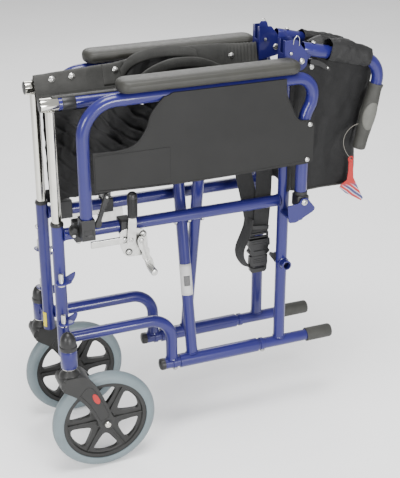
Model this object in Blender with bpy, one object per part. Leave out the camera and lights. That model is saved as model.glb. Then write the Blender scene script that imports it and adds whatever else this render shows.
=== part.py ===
"""Folding steel wheelchair with a cross brace, modelled in its folded state.

Metres, +Z up. The chair faces -Y and its left side is +X. The origin is under the
middle of the chair on the plane that the castor wheels stand on.
"""
import math

import bmesh
import bpy
from mathutils import Vector

for old in list(bpy.data.objects):
    bpy.data.objects.remove(old, do_unlink=True)

# ---- driving dimensions ----------------------------------------------------
GAP = 0.0003            # clearance left between pieces that touch
TUBE_R = 0.0111         # 7/8 inch frame tube
POST_R = 0.0085         # chrome post that slides in the front upright
SEGMENTS = 12           # facets round a tube

REAR_Y = 0.14222        # axis of the rear uprights
FRONT_Y = REAR_Y - 0.440    # axis of the front uprights
SIDE_X = 0.054          # half the distance between the folded side frames
BOTTOM_Z = 0.1605       # bottom rail axis, on which the brace turns
LOWER_Z = 0.2600        # lower front tube
SIDE_Z = 0.4680         # side rail
SEAT_Z = 0.7075         # seat rail axis, folded
UPRIGHT_TOP_Z = 0.4865
UPRIGHT_LOW_Z = 0.2265
HINGE_Y = REAR_Y + 0.020    # back fold pivot
HINGE_Z = 0.738
CANE_TILT = math.radians(-13.0)   # slope of the folded upper cane
CANE_OFFSET = 0.020     # distance of the cane axis from its pivot
CANE_CORNER = 0.1756    # run from the pivot to the handle corner
CANE_BEND = 0.042

BRACE_A_Y = REAR_Y - 0.186  # brace from the left bottom rail to the right seat rail
BRACE_B_Y = REAR_Y - 0.158  # brace from the right bottom rail to the left seat rail
BOLT_Z = (BOTTOM_Z + SEAT_Z) / 2
SLEEVE_R = 0.0135
RAIL_FRONT_Y = REAR_Y - 0.4130
RAIL_REAR_Y = REAR_Y - 0.0300

CASTOR_X = 0.1005       # castor swivel axis
CASTOR_Y = REAR_Y - 0.4440
WHEEL_Y = REAR_Y - 0.3830
WHEEL_R = 0.100
RIM_R = 0.081

ARM_X = 0.098           # plane of the armrest tube
ARM_FRONT_Y = REAR_Y - 0.3985
ARM_REAR_Y = REAR_Y + 0.0135
ARM_TOP_Z = 0.7165
ARM_PIVOT_Z = 0.4835
SKIRT_X = ARM_X + TUBE_R + GAP
BRAKE_X = 0.0705        # outboard face of the brake clamp
AXLE_Z = 0.339          # rear axle receiver

# ---- materials -------------------------------------------------------------
FINISH = {
    "blue_paint": ((0.055, 0.060, 0.30), 0.32, 0.25),
    "chrome": ((0.80, 0.79, 0.76), 0.12, 1.0),
    "zinc_steel": ((0.62, 0.62, 0.60), 0.35, 1.0),
    "black_plastic": ((0.020, 0.020, 0.022), 0.50, 0.0),
    "panel_plastic": ((0.060, 0.060, 0.058), 0.55, 0.0),
    "pad_foam": ((0.115, 0.112, 0.095), 0.70, 0.0),
    "grey_rubber": ((0.090, 0.090, 0.085), 0.80, 0.0),
    "tyre_rubber": ((0.38, 0.45, 0.48), 0.75, 0.0),
    "black_nylon": ((0.018, 0.018, 0.019), 0.85, 0.0),
    "red_card": ((0.60, 0.035, 0.030), 0.60, 0.0),
    "white_cord": ((0.65, 0.63, 0.58), 0.80, 0.0),
}


def material(name):
    """One Principled material per finish, made on first use."""
    found = bpy.data.materials.get(name)
    if found:
        return found
    colour, roughness, metallic = FINISH[name]
    made = bpy.data.materials.new(name)
    made.use_nodes = True
    shader = made.node_tree.nodes["Principled BSDF"]
    shader.inputs["Base Color"].default_value = (*colour, 1.0)
    shader.inputs["Roughness"].default_value = roughness
    shader.inputs["Metallic"].default_value = metallic
    made.diffuse_color = (*colour, 1.0)
    return made


# ---- mesh helpers ----------------------------------------------------------
def make(name, mesh_data, finish, smooth=True):
    """Turn a bmesh into a named object with its material."""
    bmesh.ops.recalc_face_normals(mesh_data, faces=mesh_data.faces)
    mesh = bpy.data.meshes.new(name)
    mesh_data.to_mesh(mesh)
    mesh_data.free()
    if smooth:
        mesh.shade_smooth()
        mesh.set_sharp_from_angle(angle=math.radians(35))
    made = bpy.data.objects.new(name, mesh)
    bpy.context.scene.collection.objects.link(made)
    made.data.materials.append(material(finish))
    return made


def sweep(points, radius, segments=SEGMENTS):
    """Round bar along a planar path of points, as a bmesh with flat ends."""
    path = [Vector(p) for p in points]
    plane = Vector((1, 0, 0))
    if abs((path[-1] - path[0]).normalized().x) > 0.5:
        plane = Vector((0, 1, 0))
    solid = bmesh.new()
    rings = []
    for i, point in enumerate(path):
        before = (point - path[i - 1]).normalized() if i else None
        after = (path[i + 1] - point).normalized() if i + 1 < len(path) else None
        if before is None:
            before = after
        if after is None:
            after = before
        along = (before + after).normalized()
        widen = 1.0 / max(0.5, along.dot(after))
        side = along.cross(plane).normalized()
        ring = []
        for k in range(segments):
            turn = 2 * math.pi * (k + 0.5) / segments
            offset = plane * math.cos(turn) + side * math.sin(turn) * widen
            ring.append(solid.verts.new(point + offset * radius))
        rings.append(ring)
    for low, high in zip(rings, rings[1:]):
        for k in range(segments):
            nxt = (k + 1) % segments
            solid.faces.new((low[k], low[nxt], high[nxt], high[k]))
    solid.faces.new(rings[0])
    solid.faces.new(rings[-1])
    return solid


def arc(centre, radius, start, stop, steps):
    """Points of a circular arc as (a, b) pairs; angles in degrees."""
    out = []
    for i in range(steps + 1):
        turn = math.radians(start + (stop - start) * i / steps)
        out.append((centre[0] + radius * math.cos(turn), centre[1] + radius * math.sin(turn)))
    return out


AXES = {
    "X": (Vector((0, 1, 0)), Vector((0, 0, 1)), Vector((1, 0, 0))),
    "Y": (Vector((1, 0, 0)), Vector((0, 0, 1)), Vector((0, 1, 0))),
    "Z": (Vector((1, 0, 0)), Vector((0, 1, 0)), Vector((0, 0, 1))),
}


def lathe(profile, axis, centre, segments=SEGMENTS):
    """Solid turned about an axis. The profile is (radius, distance along the axis) pairs."""
    across, up, along = AXES[axis]
    centre = Vector(centre)
    solid = bmesh.new()
    rings = []
    for radius, distance in profile:
        if radius == 0:
            rings.append([solid.verts.new(centre + along * distance)])
            continue
        ring = []
        for k in range(segments):
            turn = 2 * math.pi * (k + 0.5) / segments
            ring.append(solid.verts.new(
                centre + along * distance
                + (across * math.cos(turn) + up * math.sin(turn)) * radius))
        rings.append(ring)
    closed = profile[0][0] != 0 and profile[-1][0] != 0
    pairs = list(zip(rings, rings[1:]))
    if closed:
        pairs.append((rings[-1], rings[0]))
    for low, high in pairs:
        for k in range(segments):
            nxt = (k + 1) % segments
            corners = [low[k % len(low)], low[nxt % len(low)],
                       high[nxt % len(high)], high[k % len(high)]]
            unique = list(dict.fromkeys(corners))
            solid.faces.new(unique)
    return solid


def rod(axis, centre, radius, start, stop, segments=SEGMENTS):
    """Cylinder along an axis between two distances from its centre."""
    profile = [(0, start), (radius, start), (radius, stop), (0, stop)]
    return lathe(profile, axis, centre, segments)


def plate(outline, axis, start, stop):
    """Flat plate: an outline in the plane across an axis, between two positions on it."""
    across, up, along = AXES[axis]
    solid = bmesh.new()
    low = [solid.verts.new(across * a + up * b + along * start) for a, b in outline]
    high = [solid.verts.new(across * a + up * b + along * stop) for a, b in outline]
    solid.faces.new(low)
    solid.faces.new(high)
    count = len(outline)
    for k in range(count):
        nxt = (k + 1) % count
        solid.faces.new((low[k], low[nxt], high[nxt], high[k]))
    return solid


def box(low, high):
    """Axis-aligned block between two corners."""
    outline = [(low[0], low[1]), (high[0], low[1]), (high[0], high[1]), (low[0], high[1])]
    return plate(outline, "Z", low[2], high[2])


def cut_or_join(target, other, operation):
    """Boolean the target with a helper solid, which is hidden from the build."""
    helper = make(f"helper_{target.name}_{len(target.modifiers)}", other, "zinc_steel", smooth=False)
    helper.hide_render = True
    helper.display_type = "WIRE"
    step = target.modifiers.new(operation.lower(), "BOOLEAN")
    step.operation = operation
    step.solver = "EXACT"
    step.object = helper
    return target


def cut(target, other):
    return cut_or_join(target, other, "DIFFERENCE")


def join(target, other):
    return cut_or_join(target, other, "UNION")


def hinge(name, place, *pieces):
    """Parent the pieces of a moving group to an empty on the group's axis."""
    pivot = bpy.data.objects.new(name, None)
    pivot.location = place
    bpy.context.scene.collection.objects.link(pivot)
    for piece in pieces:
        piece.parent = pivot
        piece.location = -Vector(place)
    return pivot


def yz(x, pairs):
    return [(x, a, b) for a, b in pairs]


# ---- side frame ------------------------------------------------------------
def front_upright(side, word):
    """Open-topped tube with its two leg-rest hanger pegs."""
    x = side * SIDE_X
    profile = [(TUBE_R, UPRIGHT_LOW_Z), (TUBE_R, UPRIGHT_TOP_Z),
               (POST_R + 0.0007, UPRIGHT_TOP_Z), (POST_R + 0.0007, UPRIGHT_LOW_Z)]
    tube = make(f"front_upright_{word}", lathe(profile, "Z", (x, FRONT_Y, 0)), "blue_paint")
    for shelf_z in (0.3830, 0.3010):
        outline = [(x + side * 0.0100, FRONT_Y - 0.0060), (side * 0.0840, FRONT_Y - 0.0130),
                   (side * 0.0880, FRONT_Y - 0.0060), (side * 0.0850, FRONT_Y + 0.0080),
                   (side * 0.0800, FRONT_Y + 0.0150), (x + side * 0.0096, FRONT_Y + 0.0064)]
        if side < 0:
            outline.reverse()
        join(tube, plate(outline, "Z", shelf_z, shelf_z + 0.0040))
        peg = rod("Z", (side * 0.0780, FRONT_Y - 0.0040, shelf_z), 0.0042, -0.0040, 0.0240, 12)
        join(tube, peg)
    return tube


def side_tubes(side, word):
    """Side rail, lower front tube and bottom rail, each coped to its neighbours."""
    x = side * SIDE_X
    rail = make(f"side_rail_{word}",
                sweep([(x, FRONT_Y, SIDE_Z), (x, REAR_Y, SIDE_Z)], TUBE_R), "blue_paint")
    lower_rear = REAR_Y - 0.2287
    bend = 0.045
    path = [(FRONT_Y, LOWER_Z)]
    path += arc((lower_rear - bend, LOWER_Z - bend), bend, 90, 0, 6)
    path += [(lower_rear, BOTTOM_Z)]
    lower = make(f"lower_tube_{word}", sweep(yz(x, path), TUBE_R), "blue_paint")
    bottom = make(f"bottom_rail_{word}",
                  sweep([(x, REAR_Y - 0.250, BOTTOM_Z), (x, REAR_Y + 0.104, BOTTOM_Z)], TUBE_R),
                  "blue_paint")
    clear = TUBE_R + GAP
    for tube in (rail, lower):
        cut(tube, rod("Z", (x, FRONT_Y, 0), clear, 0.20, 0.50))
    cut(rail, rod("Z", (x, REAR_Y, 0), clear, 0.20, 0.60))
    cut(lower, rod("Y", (x, 0, BOTTOM_Z), clear, lower_rear - 0.030, lower_rear + 0.030))
    boot_profile = [(0, 0.1165), (0.0110, 0.1165), (0.0135, 0.1135), (0.0135, 0.0610),
                    (TUBE_R + GAP, 0.0610), (TUBE_R + GAP, 0.1045), (0, 0.1045)]
    make(f"tip_boot_{word}", lathe(boot_profile, "Y", (x, REAR_Y, BOTTOM_Z)), "grey_rubber")


def rear_upright(side, word):
    """Rear upright and lower back cane in one length, with the rear axle receiver."""
    x = side * SIDE_X
    tube = make(f"rear_upright_{word}",
                sweep([(x, REAR_Y, BOTTOM_Z), (x, REAR_Y, 0.7220)], TUBE_R), "blue_paint")
    cut(tube, rod("Y", (x, REAR_Y, BOTTOM_Z), TUBE_R + GAP, -0.030, 0.030))
    inner, outer = sorted((side * 0.0310, side * 0.0800))
    join(tube, rod("X", (0, REAR_Y, AXLE_Z), 0.0098, inner, outer))
    cut(tube, rod("X", (0, REAR_Y, AXLE_Z), 0.0065, inner - 0.010, outer + 0.010))
    return tube


def castor_housing(side, word):
    """Swivel barrel with its domed cap and the web that carries it on the upright."""
    x = side * CASTOR_X
    dome = arc((0, 0.2780), 0.0145, 0, 90, 4)
    profile = [(0, 0.2560), (0.0060, 0.2560), (0.0060, 0.2265), (0.0152, 0.2265), (0.0152, 0.2640),
               (0.0145, 0.2650)] + dome[:-1] + [(0, 0.2925)]
    body = make(f"castor_housing_{word}", lathe(profile, "Z", (x, CASTOR_Y, 0)), "blue_paint")
    inner, outer = sorted((side * (SIDE_X + 0.0040), side * (CASTOR_X - 0.0100)))
    join(body, box((inner, CASTOR_Y - 0.0060, 0.2310), (outer, CASTOR_Y + 0.0060, 0.2600)))
    cut(body, rod("Z", (side * SIDE_X, FRONT_Y, 0), TUBE_R + GAP, 0.20, 0.30))
    return body


def arm_seat_block(side, word):
    """Moulded block on the side rail: saddle for the seat rail, socket for the armrest."""
    low_x, high_x = sorted((side * 0.0405, side * 0.0690))
    block = make(f"arm_socket_{word}",
                 box((low_x, ARM_FRONT_Y - 0.0140, 0.4545), (high_x, ARM_FRONT_Y + 0.0140, 0.4935)),
                 "black_plastic", smooth=False)
    low_x, high_x = sorted((side * 0.0660, side * 0.1125))
    join(block, box((low_x, ARM_FRONT_Y - 0.0138, 0.4800), (high_x, ARM_FRONT_Y + 0.0138, 0.5137)))
    x = side * SIDE_X
    cut(block, rod("Y", (x, ARM_FRONT_Y, SIDE_Z), TUBE_R + GAP, -0.030, 0.030))
    cut(block, rod("Y", (x, ARM_FRONT_Y, 0.5040), 0.0146, -0.030, 0.030))
    cut(block, rod("Z", (side * ARM_X, ARM_FRONT_Y, 0), TUBE_R + 0.0005, 0.4985, 0.5300))
    return block


def arm_bracket(side, word):
    """Strap welded to the rear upright, its cheek plate and the armrest pivot screw."""
    r = REAR_Y
    outline = [(r - 0.020, 0.4800), (r + 0.003, 0.4820), (r + 0.008, 0.4905), (r + 0.019, 0.4915),
               (r + 0.025, 0.4840), (r + 0.037, 0.4690), (r + 0.034, 0.4630), (r - 0.002, 0.4445),
               (r - 0.017, 0.4455)]
    near, far = sorted((side * 0.1125, side * 0.1155))
    body = make(f"arm_bracket_{word}", plate(outline, "X", near, far), "blue_paint", smooth=False)
    near, far = sorted((side * 0.0580, side * 0.1140))
    join(body, box((near, r - 0.0110, 0.4470), (far, r + 0.0100, 0.4510)))
    near, far = sorted((side * 0.0840, side * 0.1140))
    join(body, rod("X", (0, ARM_REAR_Y, ARM_PIVOT_Z), 0.0032, near, far, 12))
    near, far = sorted((side * 0.1150, side * 0.1185))
    join(body, rod("X", (0, ARM_REAR_Y, ARM_PIVOT_Z), 0.0055, near, far, 12))
    cut(body, rod("Z", (side * SIDE_X, r, 0), TUBE_R + GAP, 0.40, 0.50))
    return body


def back_bracket(side, word):
    """Yoke round the top of the lower cane, with the pivot bolt of the folding back."""
    x = side * SIDE_X
    r = REAR_Y
    outline = [(r - 0.0165, 0.7150), (r + 0.0250, 0.7230), (r + 0.0310, 0.7330), (r + 0.0310, 0.7430),
               (r + 0.0130, 0.7810), (r - 0.0165, 0.7810)]
    yoke = make(f"back_bracket_{word}", plate(outline, "X", x - 0.0165, x + 0.0165),
                "blue_paint", smooth=False)
    inside = [(r - 0.0134, 0.7000), (r + 0.0600, 0.7000), (r + 0.0600, 0.8000), (r - 0.0134, 0.8000)]
    cut(yoke, plate(inside, "X", x - 0.0134, x + 0.0134))
    join(yoke, rod("X", (x, HINGE_Y, HINGE_Z), 0.0032, -0.0150, 0.0150, 12))
    for end in (-0.0180, 0.0155):
        join(yoke, rod("X", (x, HINGE_Y, HINGE_Z), 0.0062, end, end + 0.0025, 12))
    return yoke


# ---- castors ---------------------------------------------------------------
def castor(side, word):
    """Fork with stem and axle, spoked rim and solid tyre."""
    x = side * CASTOR_X
    y = CASTOR_Y
    outline = [(y - 0.0180, 0.2160), (y - 0.0190, 0.1960), (y - 0.0050, 0.1700),
               (y + 0.0300, 0.1180)]
    outline += arc((WHEEL_Y, 0.100), 0.0150, 215, 380, 6)
    outline += [(y + 0.0690, 0.1350), (y + 0.0550, 0.1640), (y + 0.0340, 0.1900),
                (y + 0.0160, 0.2160)]
    fork = make(f"castor_fork_{word}", plate(outline, "X", x - 0.0225, x + 0.0225), "black_plastic")
    cut(fork, rod("X", (x, WHEEL_Y, 0.100), 0.1050, -0.0160, 0.0160, 40))
    join(fork, rod("X", (x, WHEEL_Y, 0.100), 0.0040, -0.0200, 0.0200, 12))
    for end in (-0.0270, 0.0220):
        join(fork, rod("X", (x, WHEEL_Y, 0.100), 0.0085, end, end + 0.0050, 12))
    stem = [(0, 0.2100), (0.0105, 0.2100), (0.0105, 0.2255), (0.0055, 0.2255), (0.0055, 0.2500),
            (0, 0.2500)]
    join(fork, lathe(stem, "Z", (x, y, 0)))
    rim = castor_rim(x, word)
    tread = arc((WHEEL_R - 0.0125, 0), 0.0125, -78, 78, 6)
    profile = [(RIM_R + GAP, -0.0100)] + tread + [(RIM_R + GAP, 0.0100)]
    tyre = make(f"castor_tyre_{word}", lathe(profile, "X", (x, WHEEL_Y, 0.100), 30), "tyre_rubber")
    hinge(f"castor_swivel_{word}", (x, y, 0.2260), fork)
    hinge(f"castor_axle_{word}", (x, WHEEL_Y, 0.100), rim, tyre)


def castor_rim(x, word):
    """Six-spoke moulded rim with rounded openings and a through bore."""
    centre = (x, WHEEL_Y, 0.100)
    half = [(0.0045, 0.0140), (0.0180, 0.0140), (0.0180, 0.0045), (0.0720, 0.0045),
            (0.0720, 0.0095), (RIM_R, 0.0095)]
    profile = half + [(radius, -distance) for radius, distance in reversed(half)]
    rim = make(f"castor_rim_{word}", lathe(profile, "X", centre, 30), "black_plastic")
    openings = bmesh.new()
    for k in range(6):
        middle = 30 + 60 * k
        outer = arc((WHEEL_Y, 0.100), 0.0690, middle - 21, middle + 21, 3)
        inner = arc((WHEEL_Y, 0.100), 0.0270, middle + 12, middle - 12, 1)
        prism = plate(outer + inner, "X", x - 0.020, x + 0.020)
        bmesh.ops.recalc_face_normals(prism, faces=prism.faces)
        holder = bpy.data.meshes.new("opening")
        prism.to_mesh(holder)
        prism.free()
        openings.from_mesh(holder)
        bpy.data.meshes.remove(holder)
    return cut(rim, openings)


# ---- cross brace and seat --------------------------------------------------
def brace(name, low_side, y):
    """Sleeve on one bottom rail, diagonal tube, and the seat rail on the other side."""
    low_x = low_side * SIDE_X
    high_x = -low_x
    body = make(name, sweep([(low_x, y, BOTTOM_Z), (high_x, y, SEAT_Z)], TUBE_R), "blue_paint")
    cut(body, rod("Y", (low_x, y, BOTTOM_Z), SLEEVE_R - 0.0010, -0.0200, 0.0200))
    cut(body, rod("Y", (0, y, BOLT_Z), 0.0044, -0.030, 0.030, 12))
    bore = TUBE_R + 0.0004
    front, rear = REAR_Y - 0.2130, REAR_Y - 0.0480
    sleeve = [(SLEEVE_R, front), (SLEEVE_R, rear), (bore, rear), (bore, front)]
    join(body, lathe(sleeve, "Y", (low_x, 0, BOTTOM_Z)))
    rail = [(0, RAIL_REAR_Y), (TUBE_R + 0.0001, RAIL_REAR_Y), (TUBE_R + 0.0001, RAIL_FRONT_Y),
            (0.0080, RAIL_FRONT_Y), (0.0080, RAIL_FRONT_Y + 0.0340), (0, RAIL_FRONT_Y + 0.0340)]
    join(body, lathe(rail, "Y", (high_x, 0, SEAT_Z)))
    return body


def cross_bolt():
    """Bolt, spacer and nut that hold the two braces together."""
    middle = (BRACE_A_Y + BRACE_B_Y) / 2
    reach = (BRACE_B_Y - BRACE_A_Y) / 2
    flat = reach + TUBE_R + GAP
    waist = reach - TUBE_R - GAP
    profile = [(0, -flat - 0.0050), (0.0080, -flat - 0.0050), (0.0080, -flat), (0.0040, -flat),
               (0.0040, -waist), (0.0075, -waist), (0.0075, waist), (0.0040, waist),
               (0.0040, flat), (0.0075, flat), (0.0075, flat + 0.0065), (0, flat + 0.0065)]
    return make("cross_bolt", lathe(profile, "Y", (0, middle, BOLT_Z)), "zinc_steel")


def seat_post(side, word):
    """Chrome post with the cross stub on which the seat rail turns."""
    x = side * SIDE_X
    post = make(f"seat_post_{word}",
                rod("Z", (x, FRONT_Y, 0), POST_R, 0.4400, SEAT_Z), "chrome")
    r = REAR_Y
    stub = [(0, r - 0.4585), (0.0120, r - 0.4585), (0.0120, r - 0.4140), (0.0075, r - 0.4140),
            (0.0075, r - 0.3820), (0, r - 0.3820)]
    return join(post, lathe(stub, "Y", (x, 0, SEAT_Z)))


def seat_half(side, word):
    """Half of the seat sling: a hem wrapped over the rail and the cloth hanging from it."""
    x = side * SIDE_X
    inner = TUBE_R + 2 * GAP
    outer = inner + 0.0020
    start, stop = (-20, 131) if side > 0 else (200, 49)
    outline = arc((x, SEAT_Z), outer, start, stop, 8)
    fall = Vector((-side * 0.756, -0.655)) * 0.0230
    knee = Vector(outline[-1]) + fall
    outline += [tuple(knee), (side * 0.0035, 0.6300), (side * 0.0065, 0.6300)]
    inside = arc((x, SEAT_Z), inner, stop, start, 8)
    outline += [tuple(Vector(inside[0]) + fall)] + inside
    return make(f"seat_sling_{word}",
                plate(outline, "Y", REAR_Y - 0.4000, REAR_Y - 0.0450), "black_nylon", smooth=False)


# ---- armrest ---------------------------------------------------------------
def armrest(side, word):
    """Flip-back armrest: bent tube with pivot block, arm pad and clothing guard."""
    x = side * ARM_X
    front = 0.061
    path = [(ARM_FRONT_Y, 0.5000)]
    path += arc((ARM_FRONT_Y + front, ARM_TOP_Z - front), front, 180, 90, 7)
    centre = (REAR_Y - 0.003, ARM_TOP_Z - 0.032)
    path += arc(centre, 0.032, 90, -30, 8)
    path += [(ARM_REAR_Y + 0.0040, 0.6560), (ARM_REAR_Y + 0.0008, 0.6460), (ARM_REAR_Y, 0.6320),
             (ARM_REAR_Y, 0.4850)]
    tube = make(f"arm_tube_{word}", sweep(yz(x, path), TUBE_R), "blue_paint")
    block = box((x - 0.0132, ARM_REAR_Y - 0.0145, 0.4690), (x + 0.0132, ARM_REAR_Y + 0.0145, 0.4980))
    join(tube, block)
    cut(tube, rod("X", (x, ARM_REAR_Y, ARM_PIVOT_Z), 0.0036, -0.0200, 0.0200, 12))
    pad = arm_pad(x, word)
    guard = skirt_guard(side, word)
    hinge(f"arm_pivot_{word}", (x, ARM_REAR_Y, ARM_PIVOT_Z), tube, pad, guard)


def arm_pad(x, word):
    """Padded rest with a stadium section and rounded ends."""
    half = 0.0255
    thick = 0.0125
    section = arc((half - thick, 0), thick, -90, 90, 6) + arc((thick - half, 0), thick, 90, 270, 6)
    low_z = ARM_TOP_Z + TUBE_R + GAP
    stations = [(0.0000, 0.55), (0.0060, 0.86), (0.0160, 1.0), (0.3200, 1.0), (0.3300, 0.86),
                (0.3360, 0.55)]
    solid = bmesh.new()
    rings = []
    for run, scale in stations:
        ring = []
        for a, b in section:
            z = low_z + thick + b * (0.6 + 0.4 * scale)
            ring.append(solid.verts.new((x + a * scale, REAR_Y - 0.3370 + run, z)))
        rings.append(ring)
    count = len(section)
    for low, high in zip(rings, rings[1:]):
        for k in range(count):
            nxt = (k + 1) % count
            solid.faces.new((low[k], low[nxt], high[nxt], high[k]))
    solid.faces.new(rings[0])
    solid.faces.new(rings[-1])
    return make(f"arm_pad_{word}", solid, "pad_foam")


def skirt_guard(side, word):
    """Clothing guard panel under the armrest, notched at its rear top corner."""
    r = REAR_Y
    outline = [(r - 0.3860, 0.5630), (r - 0.1880, 0.5560), (r + 0.0200, 0.5610), (r + 0.0275, 0.5640),
               (r + 0.0290, 0.6200), (r + 0.0240, 0.6290), (r + 0.0030, 0.6340), (r - 0.0080, 0.6480),
               (r - 0.0210, 0.6900), (r - 0.0230, 0.7050), (r - 0.2430, 0.7150)]
    outline += arc((r - 0.3300, 0.6830), 0.0480, 0, -82, 6)
    outline += [(r - 0.3860, 0.6290)]
    near, far = sorted((side * SKIRT_X, side * (SKIRT_X + 0.0028)))
    guard = make(f"clothing_guard_{word}", plate(outline, "X", near, far), "panel_plastic",
                 smooth=False)
    return guard


# ---- levers ----------------------------------------------------------------
def arm_release(side, word):
    """Leaning plastic lever that frees the armrest from its socket."""
    y = ARM_FRONT_Y + 0.0190
    outline = [(y, 0.4920), (y + 0.0110, 0.4930), (y + 0.0150, 0.5050), (y + 0.0290, 0.5400),
               (y + 0.0270, 0.5500), (y + 0.0190, 0.5500), (y + 0.0020, 0.5130), (y - 0.0030, 0.5020)]
    near, far = sorted((side * 0.0925, side * 0.1030))
    lever = make(f"arm_release_{word}", plate(outline, "X", near, far), "black_plastic", smooth=False)
    hinge(f"arm_release_pivot_{word}", (side * ARM_X, y + 0.0060, 0.4980), lever)


def brake(side, word):
    """Push-to-lock wheel brake: rail clamp with its plate, hand lever and shoe."""
    r = REAR_Y
    x = side * SIDE_X
    near, far = sorted((side * 0.0400, side * BRAKE_X))
    base = make(f"brake_base_{word}", box((near, r - 0.3275, 0.4545), (far, r - 0.3065, 0.4815)),
                "zinc_steel", smooth=False)
    outline = [(r - 0.3850, 0.4470), (r - 0.3380, 0.4470), (r - 0.3290, 0.4150), (r - 0.3170, 0.4120),
               (r - 0.2960, 0.4240), (r - 0.2860, 0.4400), (r - 0.2880, 0.4600), (r - 0.3000, 0.4640),
               (r - 0.3380, 0.4620), (r - 0.3850, 0.4610)]
    near, far = sorted((side * (BRAKE_X - 0.0010), side * (BRAKE_X + 0.0025)))
    join(base, plate(outline, "X", near, far))
    cut(base, rod("Y", (x, r - 0.3170, SIDE_Z), TUBE_R + GAP, -0.030, 0.030))
    pivot = (side * 0.0750, r - 0.3120, 0.4470)
    shoe_pivot = (side * 0.0750, r - 0.2940, 0.4440)
    near, far = sorted((side * 0.0733, side * 0.0770))
    arm = [(r - 0.3190, 0.4400), (r - 0.3060, 0.4390), (r - 0.3020, 0.4480), (r - 0.3015, 0.4900),
           (r - 0.3145, 0.4900), (r - 0.3190, 0.4560)]
    lever = make(f"brake_lever_{word}", plate(arm, "X", near, far), "zinc_steel", smooth=False)
    near, far = sorted((side * 0.0680, side * 0.0840))
    grip = [(r - 0.3165, 0.4880), (r - 0.2985, 0.4880), (r - 0.2975, 0.5300), (r - 0.3010, 0.5360),
            (r - 0.3080, 0.5385), (r - 0.3140, 0.5355), (r - 0.3170, 0.5300)]
    join(lever, plate(grip, "X", near, far))
    hinge(f"brake_pivot_{word}", pivot, lever)
    near, far = sorted((side * 0.0780, side * 0.0815))
    finger = [(r - 0.3000, 0.4400), (r - 0.2960, 0.4500), (r - 0.2880, 0.4490), (r - 0.2850, 0.4380),
              (r - 0.2760, 0.3990), (r - 0.2690, 0.3760), (r - 0.2830, 0.3700), (r - 0.2890, 0.3980)]
    shoe = make(f"brake_shoe_{word}", plate(finger, "X", near, far), "zinc_steel", smooth=False)
    near, far = sorted((side * 0.0800, side * 0.1060))
    join(shoe, rod("X", (0, r - 0.2775, 0.3790), 0.0065, near, far, 12))
    hinge(f"brake_shoe_pivot_{word}", shoe_pivot, shoe)


# ---- folding back ----------------------------------------------------------
def cane_point(run, lift):
    """(y, z) at a run along the folded upper cane and a lift above its axis."""
    along = Vector((math.cos(CANE_TILT), math.sin(CANE_TILT)))
    above = Vector((-math.sin(CANE_TILT), math.cos(CANE_TILT)))
    spot = Vector((HINGE_Y, HINGE_Z)) + along * run + above * (CANE_OFFSET + lift)
    return (spot.x, spot.y)


def upper_cane(side, word):
    """Upper back cane with its pivot knuckle, bent down into the push handle, and the grip."""
    x = side * SIDE_X
    path = [cane_point(0.0195, 0)]
    for i in range(7):
        turn = math.radians(90 - 15 * i)
        run = CANE_CORNER - CANE_BEND + CANE_BEND * math.cos(turn)
        lift = -CANE_BEND + CANE_BEND * math.sin(turn)
        path.append(cane_point(run, lift))
    path.append(cane_point(CANE_CORNER, -0.1620))
    cane = make(f"upper_cane_{word}", sweep(yz(x, path), TUBE_R), "blue_paint")
    collar = sweep(yz(x, [cane_point(0.0190, 0), cane_point(0.0575, 0)]), 0.0128)
    join(cane, collar)
    ear = [(HINGE_Y - 0.0075, HINGE_Z - 0.0035), (HINGE_Y + 0.0000, HINGE_Z - 0.0082),
           (HINGE_Y + 0.0080, HINGE_Z - 0.0040), cane_point(0.0260, -0.0090),
           cane_point(0.0260, 0.0090), cane_point(0.0130, 0.0060), (HINGE_Y - 0.0070, HINGE_Z + 0.0050)]
    join(cane, plate(ear, "X", x - 0.0080, x + 0.0080))
    cut(cane, rod("X", (x, HINGE_Y, HINGE_Z), 0.0036, -0.0200, 0.0200, 12))
    grip = push_grip(x, word)
    latch = back_latch(side, word)
    pivot = hinge(f"back_fold_{word}", (x, HINGE_Y, HINGE_Z), cane, grip)
    hook = cane_point(0.0300, -0.0210)
    hinge(f"back_latch_pivot_{word}", (x, hook[0], hook[1]), latch)
    return pivot


def push_grip(x, word):
    """Hand grip turned along the handle, bored for the tube."""
    profile = [(0.0128, 0), (0.0133, 0.0060), (0.0120, 0.0160), (0.0128, 0.0700),
               (0.0136, 0.1180), (0.0134, 0.1250), (0.0110, 0.1285)]
    start = 0.0450
    solid = bmesh.new()
    rings = []
    run = Vector((0, *cane_point(1, 0))) - Vector((0, *cane_point(0, 0)))
    wide = Vector((1, 0, 0))
    bore = TUBE_R + GAP
    stations = profile + [(0.0020, 0.1285), (0.0020, 0.1180), (bore, 0.1180), (bore, 0.0)]
    for radius, distance in stations:
        base = Vector((x, *cane_point(CANE_CORNER, -start - distance)))
        ring = []
        for k in range(SEGMENTS):
            turn = 2 * math.pi * (k + 0.5) / SEGMENTS
            ring.append(solid.verts.new(base + (run * math.cos(turn) + wide * math.sin(turn)) * radius))
        rings.append(ring)
    rings.append(rings[0])
    for low, high in zip(rings, rings[1:]):
        for k in range(SEGMENTS):
            nxt = (k + 1) % SEGMENTS
            solid.faces.new((low[k], low[nxt], high[nxt], high[k]))
    return make(f"push_grip_{word}", solid, "grey_rubber")


def back_latch(side, word):
    """Release trigger under the upper cane that locks the raised back."""
    x = side * SIDE_X
    outline = [cane_point(0.0240, -0.0160), cane_point(0.0460, -0.0150), cane_point(0.0720, -0.0190),
               cane_point(0.0730, -0.0240), cane_point(0.0440, -0.0250), cane_point(0.0250, -0.0280)]
    return make(f"back_latch_{word}", plate(outline, "X", x - 0.0050, x + 0.0050), "black_plastic",
                smooth=False)


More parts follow.
